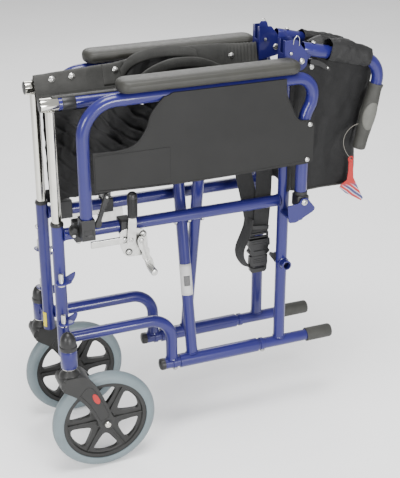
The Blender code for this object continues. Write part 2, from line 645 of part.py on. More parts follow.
# ---- soft parts ------------------------------------------------------------
def back_cloth():
    """Folded back upholstery: the lower bulge and the bundle between the upper canes."""
    r = REAR_Y
    wide = SIDE_X - TUBE_R - 0.0020
    lower = [(r + 0.0130, 0.4900), (r + 0.1100, 0.4850), (r + 0.1300, 0.5300), (r + 0.1150, 0.6400),
             (r + 0.0700, 0.6900), (r + 0.0130, 0.6900)]
    low = make("back_lower", plate(lower, "X", -wide, wide), "black_nylon", smooth=False)
    upper = [cane_point(0.0600, -0.0360), cane_point(0.1280, -0.0340), cane_point(0.1440, -0.0220),
             cane_point(0.1440, 0.0120), cane_point(0.1200, 0.0200), cane_point(0.0600, 0.0230)]
    high = make("back_upper", plate(upper, "X", -wide, wide), "black_nylon", smooth=False)
    hinge("back_lower_slide", (0, r, 0.600), low)
    hinge("back_upper_slide", (0, HINGE_Y, HINGE_Z), high)


def lap_belt():
    """Hanging lap belt with its side-release buckle."""
    r = REAR_Y
    webbing = [(r - 0.0760, 0.5400), (r - 0.0380, 0.5400), (r - 0.0300, 0.4200), (r - 0.0120, 0.3995),
               (r - 0.0600, 0.3995)]
    belt = make("lap_belt", plate(webbing, "X", 0.0230, 0.0270), "black_nylon", smooth=False)
    shell = [(r - 0.0560, 0.3990), (r - 0.0150, 0.3990), (r - 0.0120, 0.3700), (r - 0.0170, 0.3080),
             (r - 0.0540, 0.3080), (r - 0.0600, 0.3700)]
    buckle = make("belt_buckle", plate(shell, "X", 0.0180, 0.0320), "black_plastic", smooth=False)
    hinge("belt_hinge", (SIDE_X, r - 0.050, SEAT_Z), belt, buckle)


TAG_TOP = (SIDE_X, REAR_Y + 0.1415, 0.5290)
STRING_ROUTE = [
    (0.0540, 0.1545, 0.6000), (0.0536, 0.1516, 0.5985), (0.0528, 0.1480, 0.5969),
    (0.0518, 0.1440, 0.5950), (0.0508, 0.1398, 0.5920), (0.0499, 0.1360, 0.5883),
    (0.0491, 0.1326, 0.5838), (0.0486, 0.1298, 0.5788), (0.0483, 0.1278, 0.5734),
    (0.0482, 0.1267, 0.5678), (0.0483, 0.1266, 0.5620), (0.0487, 0.1274, 0.5562),
    (0.0493, 0.1289, 0.5507), (0.0501, 0.1310, 0.5455), (0.0510, 0.1335, 0.5407),
    (0.0520, 0.1362, 0.5366), (0.0530, 0.1388, 0.5335), (0.0538, 0.1407, 0.5313),
    (0.0540, 0.1415, 0.5295),
]


def hang_tag():
    """Card tag on a thin string tied to the left push grip."""
    curve = bpy.data.curves.new("tag_string", "CURVE")
    curve.dimensions = "3D"
    curve.bevel_depth = 0.0006
    curve.bevel_resolution = 2
    curve.use_fill_caps = True
    line = curve.splines.new("POLY")
    line.points.add(len(STRING_ROUTE) - 1)
    for point, (x, run, z) in zip(line.points, STRING_ROUTE):
        point.co = (x, REAR_Y + run, z, 1.0)
    string = bpy.data.objects.new("tag_string", curve)
    bpy.context.scene.collection.objects.link(string)
    curve.materials.append(material("white_cord"))
    y, z = TAG_TOP[1], TAG_TOP[2]
    outline = [(y - 0.0050, z), (y + 0.0050, z), (y + 0.0120, z - 0.0400), (y + 0.0230, z - 0.0820),
               (y - 0.0210, z - 0.0720), (y - 0.0080, z - 0.0400)]
    card = make("hang_tag", plate(outline, "X", SIDE_X - 0.0005, SIDE_X + 0.0005), "red_card",
                smooth=False)
    pivot = (STRING_ROUTE[0][0], REAR_Y + STRING_ROUTE[0][1], STRING_ROUTE[0][2])
    hinge("tag_swing", pivot, string, card)


# ---- assembly --------------------------------------------------------------
def build():
    frames = {1: "left", -1: "right"}
    for side, word in frames.items():
        front_upright(side, word)
        side_tubes(side, word)
        rear_upright(side, word)
        castor_housing(side, word)
        arm_seat_block(side, word)
        arm_bracket(side, word)
        back_bracket(side, word)
        castor(side, word)
        armrest(side, word)
        arm_release(side, word)
        brake(side, word)
        upper_cane(side, word)
        post = seat_post(side, word)
        hinge(f"post_hinge_{word}", (side * SIDE_X, FRONT_Y, SEAT_Z), post)
    brace_a = brace("brace_a", 1, BRACE_A_Y)
    brace_b = brace("brace_b", -1, BRACE_B_Y)
    hinge("brace_a_hinge", (SIDE_X, BRACE_A_Y, BOTTOM_Z), brace_a, cross_bolt(),
          seat_half(-1, "right"))
    hinge("brace_b_hinge", (0, BRACE_B_Y, BOLT_Z), brace_b, seat_half(1, "left"))
    back_cloth()
    lap_belt()
    hang_tag()


build()
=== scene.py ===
"""Looks of the folded wheelchair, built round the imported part. Metres, +Z up, facing -Y."""
import math

import bmesh
import bpy
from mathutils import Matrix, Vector, noise


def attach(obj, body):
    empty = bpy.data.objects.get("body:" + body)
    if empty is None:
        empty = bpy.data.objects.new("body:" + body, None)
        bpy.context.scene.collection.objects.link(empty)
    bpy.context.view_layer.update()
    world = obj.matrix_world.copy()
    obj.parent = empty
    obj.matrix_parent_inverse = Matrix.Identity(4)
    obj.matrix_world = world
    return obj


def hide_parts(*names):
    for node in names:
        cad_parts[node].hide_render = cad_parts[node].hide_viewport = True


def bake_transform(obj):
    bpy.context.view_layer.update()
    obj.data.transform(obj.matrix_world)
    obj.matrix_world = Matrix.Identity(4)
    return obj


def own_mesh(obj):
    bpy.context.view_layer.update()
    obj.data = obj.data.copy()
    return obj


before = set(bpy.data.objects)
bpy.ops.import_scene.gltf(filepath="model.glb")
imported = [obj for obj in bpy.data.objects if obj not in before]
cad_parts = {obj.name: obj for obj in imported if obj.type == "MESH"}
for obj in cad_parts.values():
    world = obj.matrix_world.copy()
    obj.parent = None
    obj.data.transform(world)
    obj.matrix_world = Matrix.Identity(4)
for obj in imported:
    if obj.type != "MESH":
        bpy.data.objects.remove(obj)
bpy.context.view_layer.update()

# ---- sizes shared with the part --------------------------------------------
GAP = 0.0003            # clearance between pieces that touch
TUBE_R = 0.0111         # frame tube
POST_R = 0.0085         # chrome post in the front upright
R = 0.14222             # y of the rear uprights, from which the other places are measured
F = R - 0.440           # y of the front uprights
SX = 0.054              # half the distance between the folded side frames
BOTTOM_Z = 0.1605       # bottom rail
LOWER_Z = 0.2600        # lower front tube
LOWER_DROP_Y = R - 0.2287   # where the lower front tube comes down to the bottom rail
SIDE_Z = 0.4680         # side rail
SEAT_Z = 0.7075         # seat rails, folded
TOP_Z = 0.4865          # top of the front upright
LOW_Z = 0.2265          # foot of the front upright
HINGE_Y = R + 0.020     # pivot of the folding back
HINGE_Z = 0.738
CANE_TILT = math.radians(-13.0)     # slope of the folded upper cane
CANE_OFFSET = 0.020     # distance of the cane's axis from its pivot
CANE_CORNER = 0.1756    # from the pivot to the corner above the grip
CANE_BEND = 0.042
GRIP_START = 0.0450     # from the cane's corner down to the grip's rim
GRIP_SIDE_R = 0.0138    # the grip's half width across the chair
BRACE_A_Y = R - 0.186
BRACE_B_Y = R - 0.158
BOLT_Z = (BOTTOM_Z + SEAT_Z) / 2
CASTOR_X = 0.1005       # swivel axis
CASTOR_Y = R - 0.4440
WHEEL_Y = R - 0.3830    # wheel axle, trailing the swivel axis
WHEEL_Z = 0.100
ARM_X = 0.098           # plane of the armrest tube
ARM_FRONT_Y = R - 0.3985
ARM_REAR_Y = R + 0.0135
ARM_TOP_Z = 0.7165
ARM_PIVOT_Z = 0.4835
SKIRT_X = ARM_X + TUBE_R + GAP      # inner face of the clothing guard
AXLE_Z = 0.339          # receiver of the rear wheel's axle
SIDES = ((1, "left"), (-1, "right"))
ROUND = 32              # segments round a tube

# ---- camera ----------------------------------------------------------------
CAMERA_AZIMUTH = math.radians(68.09)
CAMERA_ELEVATION = math.radians(24.92)
CAMERA_PLACE = (1.766, R - 0.8584, 1.2715)
CAMERA_LENS = 82.24


def camera():
    """Long lens from ahead and to the left, a little above the chair."""
    data = bpy.data.cameras.new("camera")
    data.lens = CAMERA_LENS
    made = bpy.data.objects.new("camera", data)
    bpy.context.scene.collection.objects.link(made)
    a, e = CAMERA_AZIMUTH, CAMERA_ELEVATION
    back = Vector((math.sin(a) * math.cos(e), -math.cos(a) * math.cos(e), math.sin(e)))
    made.rotation_mode = "QUATERNION"
    made.rotation_quaternion = (-back).to_track_quat("-Z", "Y")
    made.location = CAMERA_PLACE
    data.clip_start, data.clip_end = 0.05, 60
    bpy.context.scene.camera = made


# ---- materials -------------------------------------------------------------
class Shader:
    """Principled shader with helpers for procedural variation."""

    def __init__(self, name, rough, metal=0.0, **fixed):
        self.material = bpy.data.materials.new(name)
        self.material.use_nodes = True
        self.tree = self.material.node_tree
        self.main = self.tree.nodes["Principled BSDF"]
        self.main.inputs["Roughness"].default_value = rough
        self.main.inputs["Metallic"].default_value = metal
        for key, value in fixed.items():
            self.main.inputs[key.replace("_", " ")].default_value = value
        self.coord = self.node("ShaderNodeTexCoord").outputs["Object"]
        self.height = None

    def node(self, kind, **props):
        made = self.tree.nodes.new(kind)
        for key, value in props.items():
            setattr(made, key, value)
        return made

    def link(self, source, target):
        self.tree.links.new(source, target)

    def noise(self, scale, detail=3.0, stretch=(1, 1, 1), rough=0.5):
        place = self.node("ShaderNodeMapping")
        place.inputs["Scale"].default_value = stretch
        self.link(self.coord, place.inputs["Vector"])
        tex = self.node("ShaderNodeTexNoise")
        tex.inputs["Scale"].default_value = scale
        tex.inputs["Detail"].default_value = detail
        tex.inputs["Roughness"].default_value = rough
        self.link(place.outputs["Vector"], tex.inputs["Vector"])
        return tex.outputs["Fac"]

    def wave(self, scale, direction):
        tex = self.node("ShaderNodeTexWave", bands_direction=direction)
        tex.inputs["Scale"].default_value = scale
        self.link(self.coord, tex.inputs["Vector"])
        return tex.outputs["Fac"]

    def ramp(self, source, stops):
        made = self.node("ShaderNodeValToRGB")
        points = made.color_ramp.elements
        while len(points) < len(stops):
            points.new(0.5)
        for point, (place, colour) in zip(points, stops):
            point.position = place
            point.color = (*colour, 1.0)
        self.link(source, made.inputs["Fac"])
        return made.outputs["Color"]

    def colour(self, source, dark, light):
        self.link(self.ramp(source, [(0.3, dark), (0.7, light)]), self.main.inputs["Base Color"])

    def roughness(self, source, low, high):
        spread = self.node("ShaderNodeMapRange")
        spread.inputs["To Min"].default_value = low
        spread.inputs["To Max"].default_value = high
        self.link(source, spread.inputs["Value"])
        self.link(spread.outputs["Result"], self.main.inputs["Roughness"])

    def bump(self, source, distance, strength=1.0):
        made = self.node("ShaderNodeBump")
        made.inputs["Distance"].default_value = distance
        made.inputs["Strength"].default_value = strength
        self.link(source, made.inputs["Height"])
        if self.height is not None:
            self.link(self.height, made.inputs["Normal"])
        self.height = made.outputs["Normal"]
        self.link(self.height, self.main.inputs["Normal"])


def tint(colour, amount):
    """The same colour, darker or lighter."""
    return tuple(min(1.0, c * amount) for c in colour)


def simple(name, colour, rough, metal=0.0, vary=0.10, scale=60, grain=900, depth=0.00006, **fixed):
    """Finish with slight mottling, uneven gloss and a fine grain."""
    made = Shader(name, rough, metal, **fixed)
    made.colour(made.noise(scale, 4), tint(colour, 1 - vary), tint(colour, 1 + vary))
    made.roughness(made.noise(scale * 2.3, 3), rough * 0.88, rough * 1.14)
    made.bump(made.noise(grain, 3), depth, 0.6)
    return made.material


def nylon(name, colour, weave=1500):
    """Coated nylon: fine weave, soft creases and a faint sheen."""
    made = Shader(name, 0.50, 0.0, Specular_IOR_Level=0.25)
    made.colour(made.noise(26, 5, rough=0.6), tint(colour, 0.78), tint(colour, 1.3))
    made.roughness(made.noise(90, 4), 0.44, 0.68)
    made.bump(made.noise(42, 6, (1, 1, 2.2), 0.62), 0.0016, 0.35)
    made.bump(made.noise(170, 4), 0.0005, 0.35)
    made.bump(made.wave(weave, "X"), 0.00008, 0.4)
    made.bump(made.wave(weave, "Z"), 0.00008, 0.4)
    return made.material


def webbing(name, colour):
    """Woven belt with a diagonal rib."""
    made = Shader(name, 0.72)
    made.colour(made.noise(220, 3), tint(colour, 0.75), tint(colour, 1.3))
    made.bump(made.wave(700, "DIAGONAL"), 0.0003, 0.7)
    made.bump(made.wave(900, "Y"), 0.0002, 0.5)
    return made.material


def pad_skin():
    """Skin of the foam arm pads."""
    made = Shader("pad_skin", 0.50, 0.0, Specular_IOR_Level=0.45)
    base = (0.0185, 0.0182, 0.0145)
    made.colour(made.noise(34, 5), tint(base, 0.86), tint(base, 1.14))
    made.roughness(made.noise(90, 3), 0.42, 0.60)
    made.bump(made.noise(1300, 4), 0.0002, 0.6)
    made.bump(made.noise(60, 3, (1, 0.25, 1)), 0.0004, 0.25)
    return made.material


def panel_plastic():
    """Grained sheet of the clothing guards, slightly wavy."""
    made = Shader("panel_plastic", 0.5, 0.0, Specular_IOR_Level=0.22)
    base = (0.0105, 0.0105, 0.0102)
    made.colour(made.noise(14, 5), tint(base, 0.88), tint(base, 1.14))
    made.roughness(made.noise(40, 4), 0.42, 0.58)
    made.bump(made.noise(1600, 4, rough=0.7), 0.00025, 0.7)
    made.bump(made.noise(9, 2), 0.004, 0.12)
    return made.material


def card_print():
    """Plain card: one colour above, slanting bands of three colours below."""
    made = Shader("card_print", 0.45)
    place = made.node("ShaderNodeMapping")
    place.inputs["Rotation"].default_value = (math.radians(38), 0, 0)
    made.link(made.coord, place.inputs["Vector"])
    bands = made.node("ShaderNodeTexWave", bands_direction="Z")
    bands.inputs["Scale"].default_value = 26.0
    bands.inputs["Distortion"].default_value = 1.5
    made.link(place.outputs["Vector"], bands.inputs["Vector"])
    stripes = made.ramp(bands.outputs["Fac"], [
        (0.15, (0.030, 0.035, 0.120)), (0.34, (0.340, 0.300, 0.380)), (0.62, (0.450, 0.400, 0.430)),
        (0.80, (0.340, 0.008, 0.012))])
    split = made.node("ShaderNodeSeparateXYZ")
    made.link(made.coord, split.inputs["Vector"])
    spread = made.node("ShaderNodeMapRange")
    spread.inputs["From Min"].default_value = 0.472
    spread.inputs["From Max"].default_value = 0.480
    made.link(split.outputs["Z"], spread.inputs["Value"])
    mixed = made.node("ShaderNodeMix", data_type="RGBA")
    made.link(spread.outputs["Result"], mixed.inputs["Factor"])
    made.link(stripes, mixed.inputs[6])
    mixed.inputs[7].default_value = (0.330, 0.004, 0.003, 1.0)
    made.link(mixed.outputs[2], made.main.inputs["Base Color"])
    made.bump(made.noise(500, 2), 0.00005, 0.5)
    return made.material


MATS = {
    "blue": simple("blue_paint", (0.0115, 0.0110, 0.105), 0.30, vary=0.08, scale=18, grain=350,
                   depth=0.00010, Coat_Weight=0.30, Coat_Roughness=0.05, Specular_IOR_Level=0.30),
    "chrome": simple("chrome", (0.60, 0.59, 0.54), 0.14, 1.0, vary=0.06, scale=30, grain=500),
    "zinc": simple("zinc", (0.52, 0.52, 0.50), 0.30, 1.0, vary=0.12, scale=90, grain=700),
    "black": simple("black_plastic", (0.0085, 0.0085, 0.0090), 0.40, vary=0.2, grain=1100,
                    depth=0.00012, Specular_IOR_Level=0.40),
    "cast": simple("cast_plastic", (0.0125, 0.0125, 0.0120), 0.46, vary=0.16, scale=30, grain=900,
                   depth=0.00022, Specular_IOR_Level=0.40),
    "panel": panel_plastic(),
    "pad": pad_skin(),
    "greyrubber": simple("grey_rubber", (0.029, 0.029, 0.0255), 0.62, vary=0.12, grain=800,
                         depth=0.0002, Specular_IOR_Level=0.40),
    "griplight": simple("grip_inlay", (0.090, 0.090, 0.080), 0.66, vary=0.10, grain=800,
                        depth=0.0003),
    "tyre": simple("tyre_rubber", (0.118, 0.152, 0.165), 0.50, vary=0.07, scale=40, grain=500,
                   depth=0.00015),
    "nylon": nylon("black_nylon", (0.0115, 0.0115, 0.0117)),
    # painted shade: the back's cloth is the seat's nylon made darker, because the lamps light the
    # back more than the seat
    "backcloth_painted_shade": nylon("back_nylon_painted_shade", (0.0052, 0.0052, 0.0055)),
    "hem": nylon("hem_nylon", (0.0330, 0.0330, 0.0310), 1100),
    "webbing": webbing("belt_webbing", (0.0080, 0.0080, 0.0082)),
    "card": card_print(),
    "cord": simple("cotton", (0.16, 0.15, 0.13), 0.85, vary=0.15, scale=300, grain=2500),
    "red": simple("red_inlay", (0.33, 0.0035, 0.003), 0.35, vary=0.06),
    "yellow": simple("yellow_film", (0.56, 0.46, 0.0006), 0.40, vary=0.06),
    "inkgrey": simple("label_grey", (0.085, 0.085, 0.085), 0.5, vary=0.35, scale=700),
    "label": simple("blank_label", (0.46, 0.46, 0.45), 0.42, vary=0.05),
}


# ---- mesh helpers ----------------------------------------------------------
def put(name, solid, finish, body, stands_for=(), bevel=0.0, angle=38, segments=2, smooth=True,
        thick=0.0):
    """Named object from a bmesh, riding on a body and standing for CAD nodes."""
    bmesh.ops.recalc_face_normals(solid, faces=solid.faces)
    mesh = bpy.data.meshes.new(name)
    solid.to_mesh(mesh)
    solid.free()
    if smooth:
        mesh.shade_smooth()
        mesh.set_sharp_from_angle(angle=math.radians(angle))
    made = bpy.data.objects.new(name, mesh)
    bpy.context.scene.collection.objects.link(made)
    made.data.materials.append(MATS[finish])
    if thick:
        shell = made.modifiers.new("shell", "SOLIDIFY")
        shell.thickness = thick
        shell.offset = 0
    if bevel:
        edge = made.modifiers.new("edge", "BEVEL")
        edge.width = bevel
        edge.segments = segments
        edge.limit_method = "ANGLE"
        edge.angle_limit = math.radians(angle)
        edge.harden_normals = True
    if body:
        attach(made, body)
    if stands_for:
        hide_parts(*([stands_for] if isinstance(stands_for, str) else stands_for))
    return made


def turned(points):
    """Frames carried along a path without twisting."""
    path = [Vector(p) for p in points]
    tangents = []
    for i in range(len(path)):
        ahead = path[min(i + 1, len(path) - 1)] - path[max(i - 1, 0)]
        tangents.append(ahead.normalized())
    side = tangents[0].orthogonal().normalized()
    frames = []
    for i, tangent in enumerate(tangents):
        if i:
            side = tangents[i - 1].rotation_difference(tangent) @ side
        side = (side - tangent * side.dot(tangent)).normalized()
        frames.append((path[i], side, tangent.cross(side)))
    return frames


def sweep(points, radius, segments=ROUND, solid=None):
    """Round bar along a path; the radius may be one number or one for each point."""
    solid = solid or bmesh.new()
    rings = []
    frames = turned(points)
    for i, (centre, side, up) in enumerate(frames):
        size = radius[i] if isinstance(radius, (list, tuple)) else radius
        rings.append([solid.verts.new(centre + (side * math.cos(t) + up * math.sin(t)) * size)
                      for t in (2 * math.pi * k / segments for k in range(segments))])
    return loft(solid, rings)


def loft(solid, rings):
    """Skin over a row of rings, closed by a face at each end."""
    bridge(solid, rings)
    solid.faces.new(rings[0])
    solid.faces.new(rings[-1])
    return solid


def bridge(solid, rings, loop=False, round_it=True):
    """Faces between neighbouring rows of vertices; loop joins the last row to the first."""
    pairs = list(zip(rings, rings[1:]))
    if loop:
        pairs.append((rings[-1], rings[0]))
    for low, high in pairs:
        count = len(low)
        for k in range(count if round_it else count - 1):
            nxt = (k + 1) % count
            solid.faces.new((low[k], low[nxt], high[nxt], high[k]))


def spline(points, steps=8, closed=False):
    """Smooth curve through points of any dimension."""
    pts = [Vector(p) for p in points]
    count = len(pts)
    out = []
    spans = count if closed else count - 1
    for i in range(spans):
        if closed:
            p0, p1, p2, p3 = (pts[(i + d) % count] for d in (-1, 0, 1, 2))
        else:
            p1, p2 = pts[i], pts[i + 1]
            p0 = pts[i - 1] if i else p1 * 2 - p2
            p3 = pts[i + 2] if i + 2 < count else p2 * 2 - p1
        for k in range(steps):
            t = k / steps
            out.append(((2 * p1) + (p2 - p0) * t + (2 * p0 - 5 * p1 + 4 * p2 - p3) * t ** 2
                        + (3 * p1 - p0 - 3 * p2 + p3) * t ** 3) * 0.5)
    if not closed:
        out.append(pts[-1])
    return out


def arc(centre, radius, start, stop, steps):
    """Points of a circle's arc, with its angles in degrees."""
    out = []
    for i in range(steps + 1):
        turn = math.radians(start + (stop - start) * i / steps)
        out.append((centre[0] + radius * math.cos(turn), centre[1] + radius * math.sin(turn)))
    return out


AXES = {
    "X": (Vector((0, 1, 0)), Vector((0, 0, 1)), Vector((1, 0, 0))),
    "Y": (Vector((1, 0, 0)), Vector((0, 0, 1)), Vector((0, 1, 0))),
    "Z": (Vector((1, 0, 0)), Vector((0, 1, 0)), Vector((0, 0, 1))),
}


def basis(axis):
    """Two directions across an axis and the one along it."""
    if isinstance(axis, str):
        return AXES[axis]
    along = Vector(axis).normalized()
    across = along.orthogonal().normalized()
    return across, along.cross(across), along


def lathe(profile, axis, centre, segments=ROUND):
    """Solid turned about an axis from (radius, distance) pairs."""
    across, up, along = basis(axis)
    centre = Vector(centre)
    solid = bmesh.new()
    rings = []
    for radius, distance in profile:
        if radius == 0:
            rings.append([solid.verts.new(centre + along * distance)])
            continue
        rings.append([solid.verts.new(
            centre + along * distance + (across * math.cos(t) + up * math.sin(t)) * radius)
            for t in (2 * math.pi * k / segments for k in range(segments))])
    pairs = list(zip(rings, rings[1:]))
    if len(rings[0]) > 1 and len(rings[-1]) > 1:
        pairs.append((rings[-1], rings[0]))
    for low, high in pairs:
        for k in range(segments):
            nxt = (k + 1) % segments
            corners = [low[k % len(low)], low[nxt % len(low)],
                       high[nxt % len(high)], high[k % len(high)]]
            solid.faces.new(list(dict.fromkeys(corners)))
    return solid


def rod(axis, centre, radius, start, stop, segments=ROUND):
    return lathe([(0, start), (radius, start), (radius, stop), (0, stop)], axis, centre, segments)


def sleeve(axis, centre, inner, outer, start, stop, segments=ROUND):
    """Plain ring or pipe."""
    return lathe([(inner, start), (outer, start), (outer, stop), (inner, stop)], axis, centre,
                 segments)


def plate(outline, axis, start, stop, solid=None):
    """Flat outline extruded along an axis."""
    across, up, along = basis(axis)
    solid = solid or bmesh.new()
    low = [solid.verts.new(across * p[0] + up * p[1] + along * start) for p in outline]
    high = [solid.verts.new(across * p[0] + up * p[1] + along * stop) for p in outline]
    solid.faces.new(low)
    solid.faces.new(high)
    bridge(solid, [low, high])
    return solid


def slab(s, outline, inner, outer, steps=0):
    """Plate standing across X on one side of the chair, its outline curved if steps are given."""
    if steps:
        outline = [tuple(p) for p in spline(outline, steps, closed=True)]
    return plate(outline, "X", *sorted((s * inner, s * outer)))


def box(low, high):
    outline = [(low[0], low[1]), (high[0], low[1]), (high[0], high[1]), (low[0], high[1])]
    return plate(outline, "Z", low[2], high[2])


def side_box(s, inner, outer, y, half, low, high):
    """Box on one side of the chair, given by its middle and half length along Y."""
    near, far = sorted((s * inner, s * outer))
    return box((near, y - half, low), (far, y + half, high))


def cut(target, other):
    """Cut one solid out of another at once, so that no helper is left."""
    helper_mesh = bpy.data.meshes.new("helper")
    bmesh.ops.recalc_face_normals(other, faces=other.faces)
    other.to_mesh(helper_mesh)
    other.free()
    helper = bpy.data.objects.new("helper", helper_mesh)
    bpy.context.scene.collection.objects.link(helper)
    step = target.modifiers.new("cut", "BOOLEAN")
    step.operation = "DIFFERENCE"
    step.solver = "EXACT"
    step.object = helper
    others = [m for m in target.modifiers if m != step]
    shown = [m.show_viewport for m in others]
    for m in others:
        m.show_viewport = False
    depsgraph = bpy.context.evaluated_depsgraph_get()
    result = bpy.data.meshes.new_from_object(target.evaluated_get(depsgraph))
    target.modifiers.remove(step)
    for m, state in zip(others, shown):
        m.show_viewport = state
    old = target.data
    target.data = result
    bpy.data.meshes.remove(old)
    bpy.data.objects.remove(helper, do_unlink=True)
    bpy.data.meshes.remove(helper_mesh)
    result.shade_smooth()
    result.set_sharp_from_angle(angle=math.radians(38))


def soften(made, width, segments=1, angle=30):
    """Round the edges that a cut has left."""
    edge = made.modifiers.new("edge", "BEVEL")
    edge.width = width
    edge.segments = segments
    edge.limit_method = "ANGLE"
    edge.angle_limit = math.radians(angle)


def yz(x, pairs):
    """Path in the plane at x, from (y, z) pairs."""
    return [(x, p[0], p[1]) for p in pairs]


def bead(at, axis, radius, size=0.0016, solid=None):
    """Weld bead: a slightly lumpy ring round a tube end."""
    across, up, along = basis(axis)
    solid = solid or bmesh.new()
    rings = []
    for k in range(40):
        turn = 2 * math.pi * k / 40
        out = across * math.cos(turn) + up * math.sin(turn)
        lump = size * (1 + 0.22 * math.sin(turn * 17))
        centre = Vector(at) + out * radius
        rings.append([solid.verts.new(centre + (out * math.cos(t) + along * math.sin(t)) * lump)
                      for t in (2 * math.pi * j / 8 for j in range(8))])
    bridge(solid, rings, loop=True)
    return solid


def screw(name, at, axis, body, radius=0.0042, height=0.0026, finish="zinc", drive=True):
    """Domed screw head with a cross recess standing for its drive."""
    profile = [(0, 0), (radius * 0.98, 0), (radius, height * 0.3)]
    profile += [(radius * math.cos(math.radians(a)), height * (0.3 + 0.7 * math.sin(math.radians(a))))
                for a in (20, 40, 60, 75)]
    if drive:
        profile += [(radius * 0.22, height * 0.98), (radius * 0.18, height * 0.45),
                    (0, height * 0.45)]
    else:
        profile += [(0, height)]
    return put(name, lathe(profile, axis, at, 20), finish, body)


def nut(name, at, axis, body, radius, height):
    """Hexagonal nut with a rounded collar and the bolt's end in it."""
    solid = lathe([(0, 0), (radius, 0), (radius, height * 0.8), (radius * 0.82, height),
                   (radius * 0.55, height), (radius * 0.5, height * 1.25), (0, height * 1.25)],
                  axis, at, 6)
    return put(name, solid, "zinc", body, bevel=0.0003, angle=25)


def grid(fn, nu, nv, close_u=False):
    """Sheet from a function of (u, v) in 0..1."""
    solid = bmesh.new()
    rings = [[solid.verts.new(fn(i / (nu - (0 if close_u else 1)), j / (nv - 1)))
              for i in range(nu)] for j in range(nv)]
    for low, high in zip(rings, rings[1:]):
        for i in range(nu if close_u else nu - 1):
            nxt = (i + 1) % nu
            solid.faces.new((low[i], low[nxt], high[nxt], high[i]))
    return solid


def fbm(x, y, z, octaves=4):
    """Layered noise, each layer half as strong and about twice as fine."""
    total, size = 0.0, 0.5
    for _ in range(octaves):
        total += noise.noise(Vector((x, y, z))) * size
        x, y, z, size = x * 2.03 + 3.1, y * 2.03 - 1.7, z * 2.03 + 0.9, size * 0.5
    return total


# ---- side frames -----------------------------------------------------------
def side_frame(s, w):
    """Tubes of one side, with its bush, plugs, boot, axle receiver and leg rest hangers."""
    x = s * SX
    body = f"{w}_frame"
    up = sleeve("Z", (x, F, 0), 0.0092, TUBE_R, LOW_Z, TOP_Z)
    put(f"tube_front_upright_{w}", up, "blue", body, f"front_upright_{w}")
    ring = lathe([(0.0090, TOP_Z + 0.0004), (0.0118, TOP_Z + 0.0004), (0.0121, TOP_Z + 0.0030),
                  (0.0112, TOP_Z + 0.0060), (0.0090, TOP_Z + 0.0064)], "Z", (x, F, 0))
    put(f"upright_bush_{w}", ring, "black", body)
    foot = lathe([(0, LOW_Z - 0.0035), (0.0060, LOW_Z - 0.0035), (0.0098, LOW_Z - 0.0015),
                  (0.0114, LOW_Z - 0.0002), (0, LOW_Z - 0.0002)], "Z", (x, F, 0))
    put(f"upright_plug_{w}", foot, "black", body)
    for level, z in (("upper", 0.3830), ("lower", 0.3010)):
        hanger(s, w, level, z)
    y0 = F + TUBE_R - 0.001
    rail = sweep([(x, y0, SIDE_Z), (x, R - TUBE_R + 0.001, SIDE_Z)], TUBE_R)
    put(f"tube_side_rail_{w}", rail, "blue", body, f"side_rail_{w}")
    bend = 0.045
    path = [(y0, LOWER_Z)] + arc((LOWER_DROP_Y - bend, LOWER_Z - bend), bend, 90, 0, 18)
    path += [(LOWER_DROP_Y, BOTTOM_Z + TUBE_R - 0.0015)]
    put(f"tube_lower_{w}", sweep(yz(x, path), TUBE_R), "blue", body, f"lower_tube_{w}")
    bottom = sweep([(x, R - 0.250, BOTTOM_Z), (x, R + 0.104, BOTTOM_Z)], TUBE_R)
    put(f"tube_bottom_{w}", bottom, "blue", body, f"bottom_rail_{w}")
    cap = lathe([(0, -0.2540), (0.0080, -0.2538), (0.0108, -0.2526), (0.0116, -0.2504),
                 (0.0116, -0.2440), (0.0112, -0.2436), (0, -0.2436)], "Y", (x, R, BOTTOM_Z))
    put(f"bottom_cap_{w}", cap, "black", body)
    boot = [(0, 0.1165), (0.0098, 0.1165), (0.0124, 0.1155), (0.0136, 0.1130), (0.0137, 0.0680),
            (0.0133, 0.0664), (0.0139, 0.0648), (0.0139, 0.0618), (0.0133, 0.0606),
            (0.0113, 0.0606), (0.0113, 0.1045), (0, 0.1045)]
    put(f"boot_{w}", lathe(boot, "Y", (x, R, BOTTOM_Z), 40), "greyrubber", body, f"tip_boot_{w}")
    up = sweep([(x, R, BOTTOM_Z + TUBE_R - 0.0015), (x, R, 0.7220)], TUBE_R)
    tube = put(f"tube_rear_upright_{w}", up, "blue", body, f"rear_upright_{w}")
    cut(tube, rod("X", (0, R, AXLE_Z), 0.0094, *sorted((s * 0.030, s * 0.078))))
    receiver = sleeve("X", (0, R, AXLE_Z), 0.0065, 0.0098, *sorted((s * 0.0310, s * 0.0800)))
    put(f"axle_receiver_{w}", receiver, "blue", body, bevel=0.0007)
    liner = sleeve("X", (0, R, AXLE_Z), 0.00655, 0.0072, *sorted((s * 0.0305, s * 0.0803)))
    put(f"axle_liner_{w}", liner, "black", body)
    tab = [(R - 0.0010, 0.3520), (R - 0.0230, 0.3600), (R - 0.0245, 0.3540), (R - 0.0130, 0.3380)]
    put(f"axle_tab_{w}", slab(s, tab, 0.0485, 0.0530), "black", body, bevel=0.0008)
    welds(s, w)
    fixings(s, w)


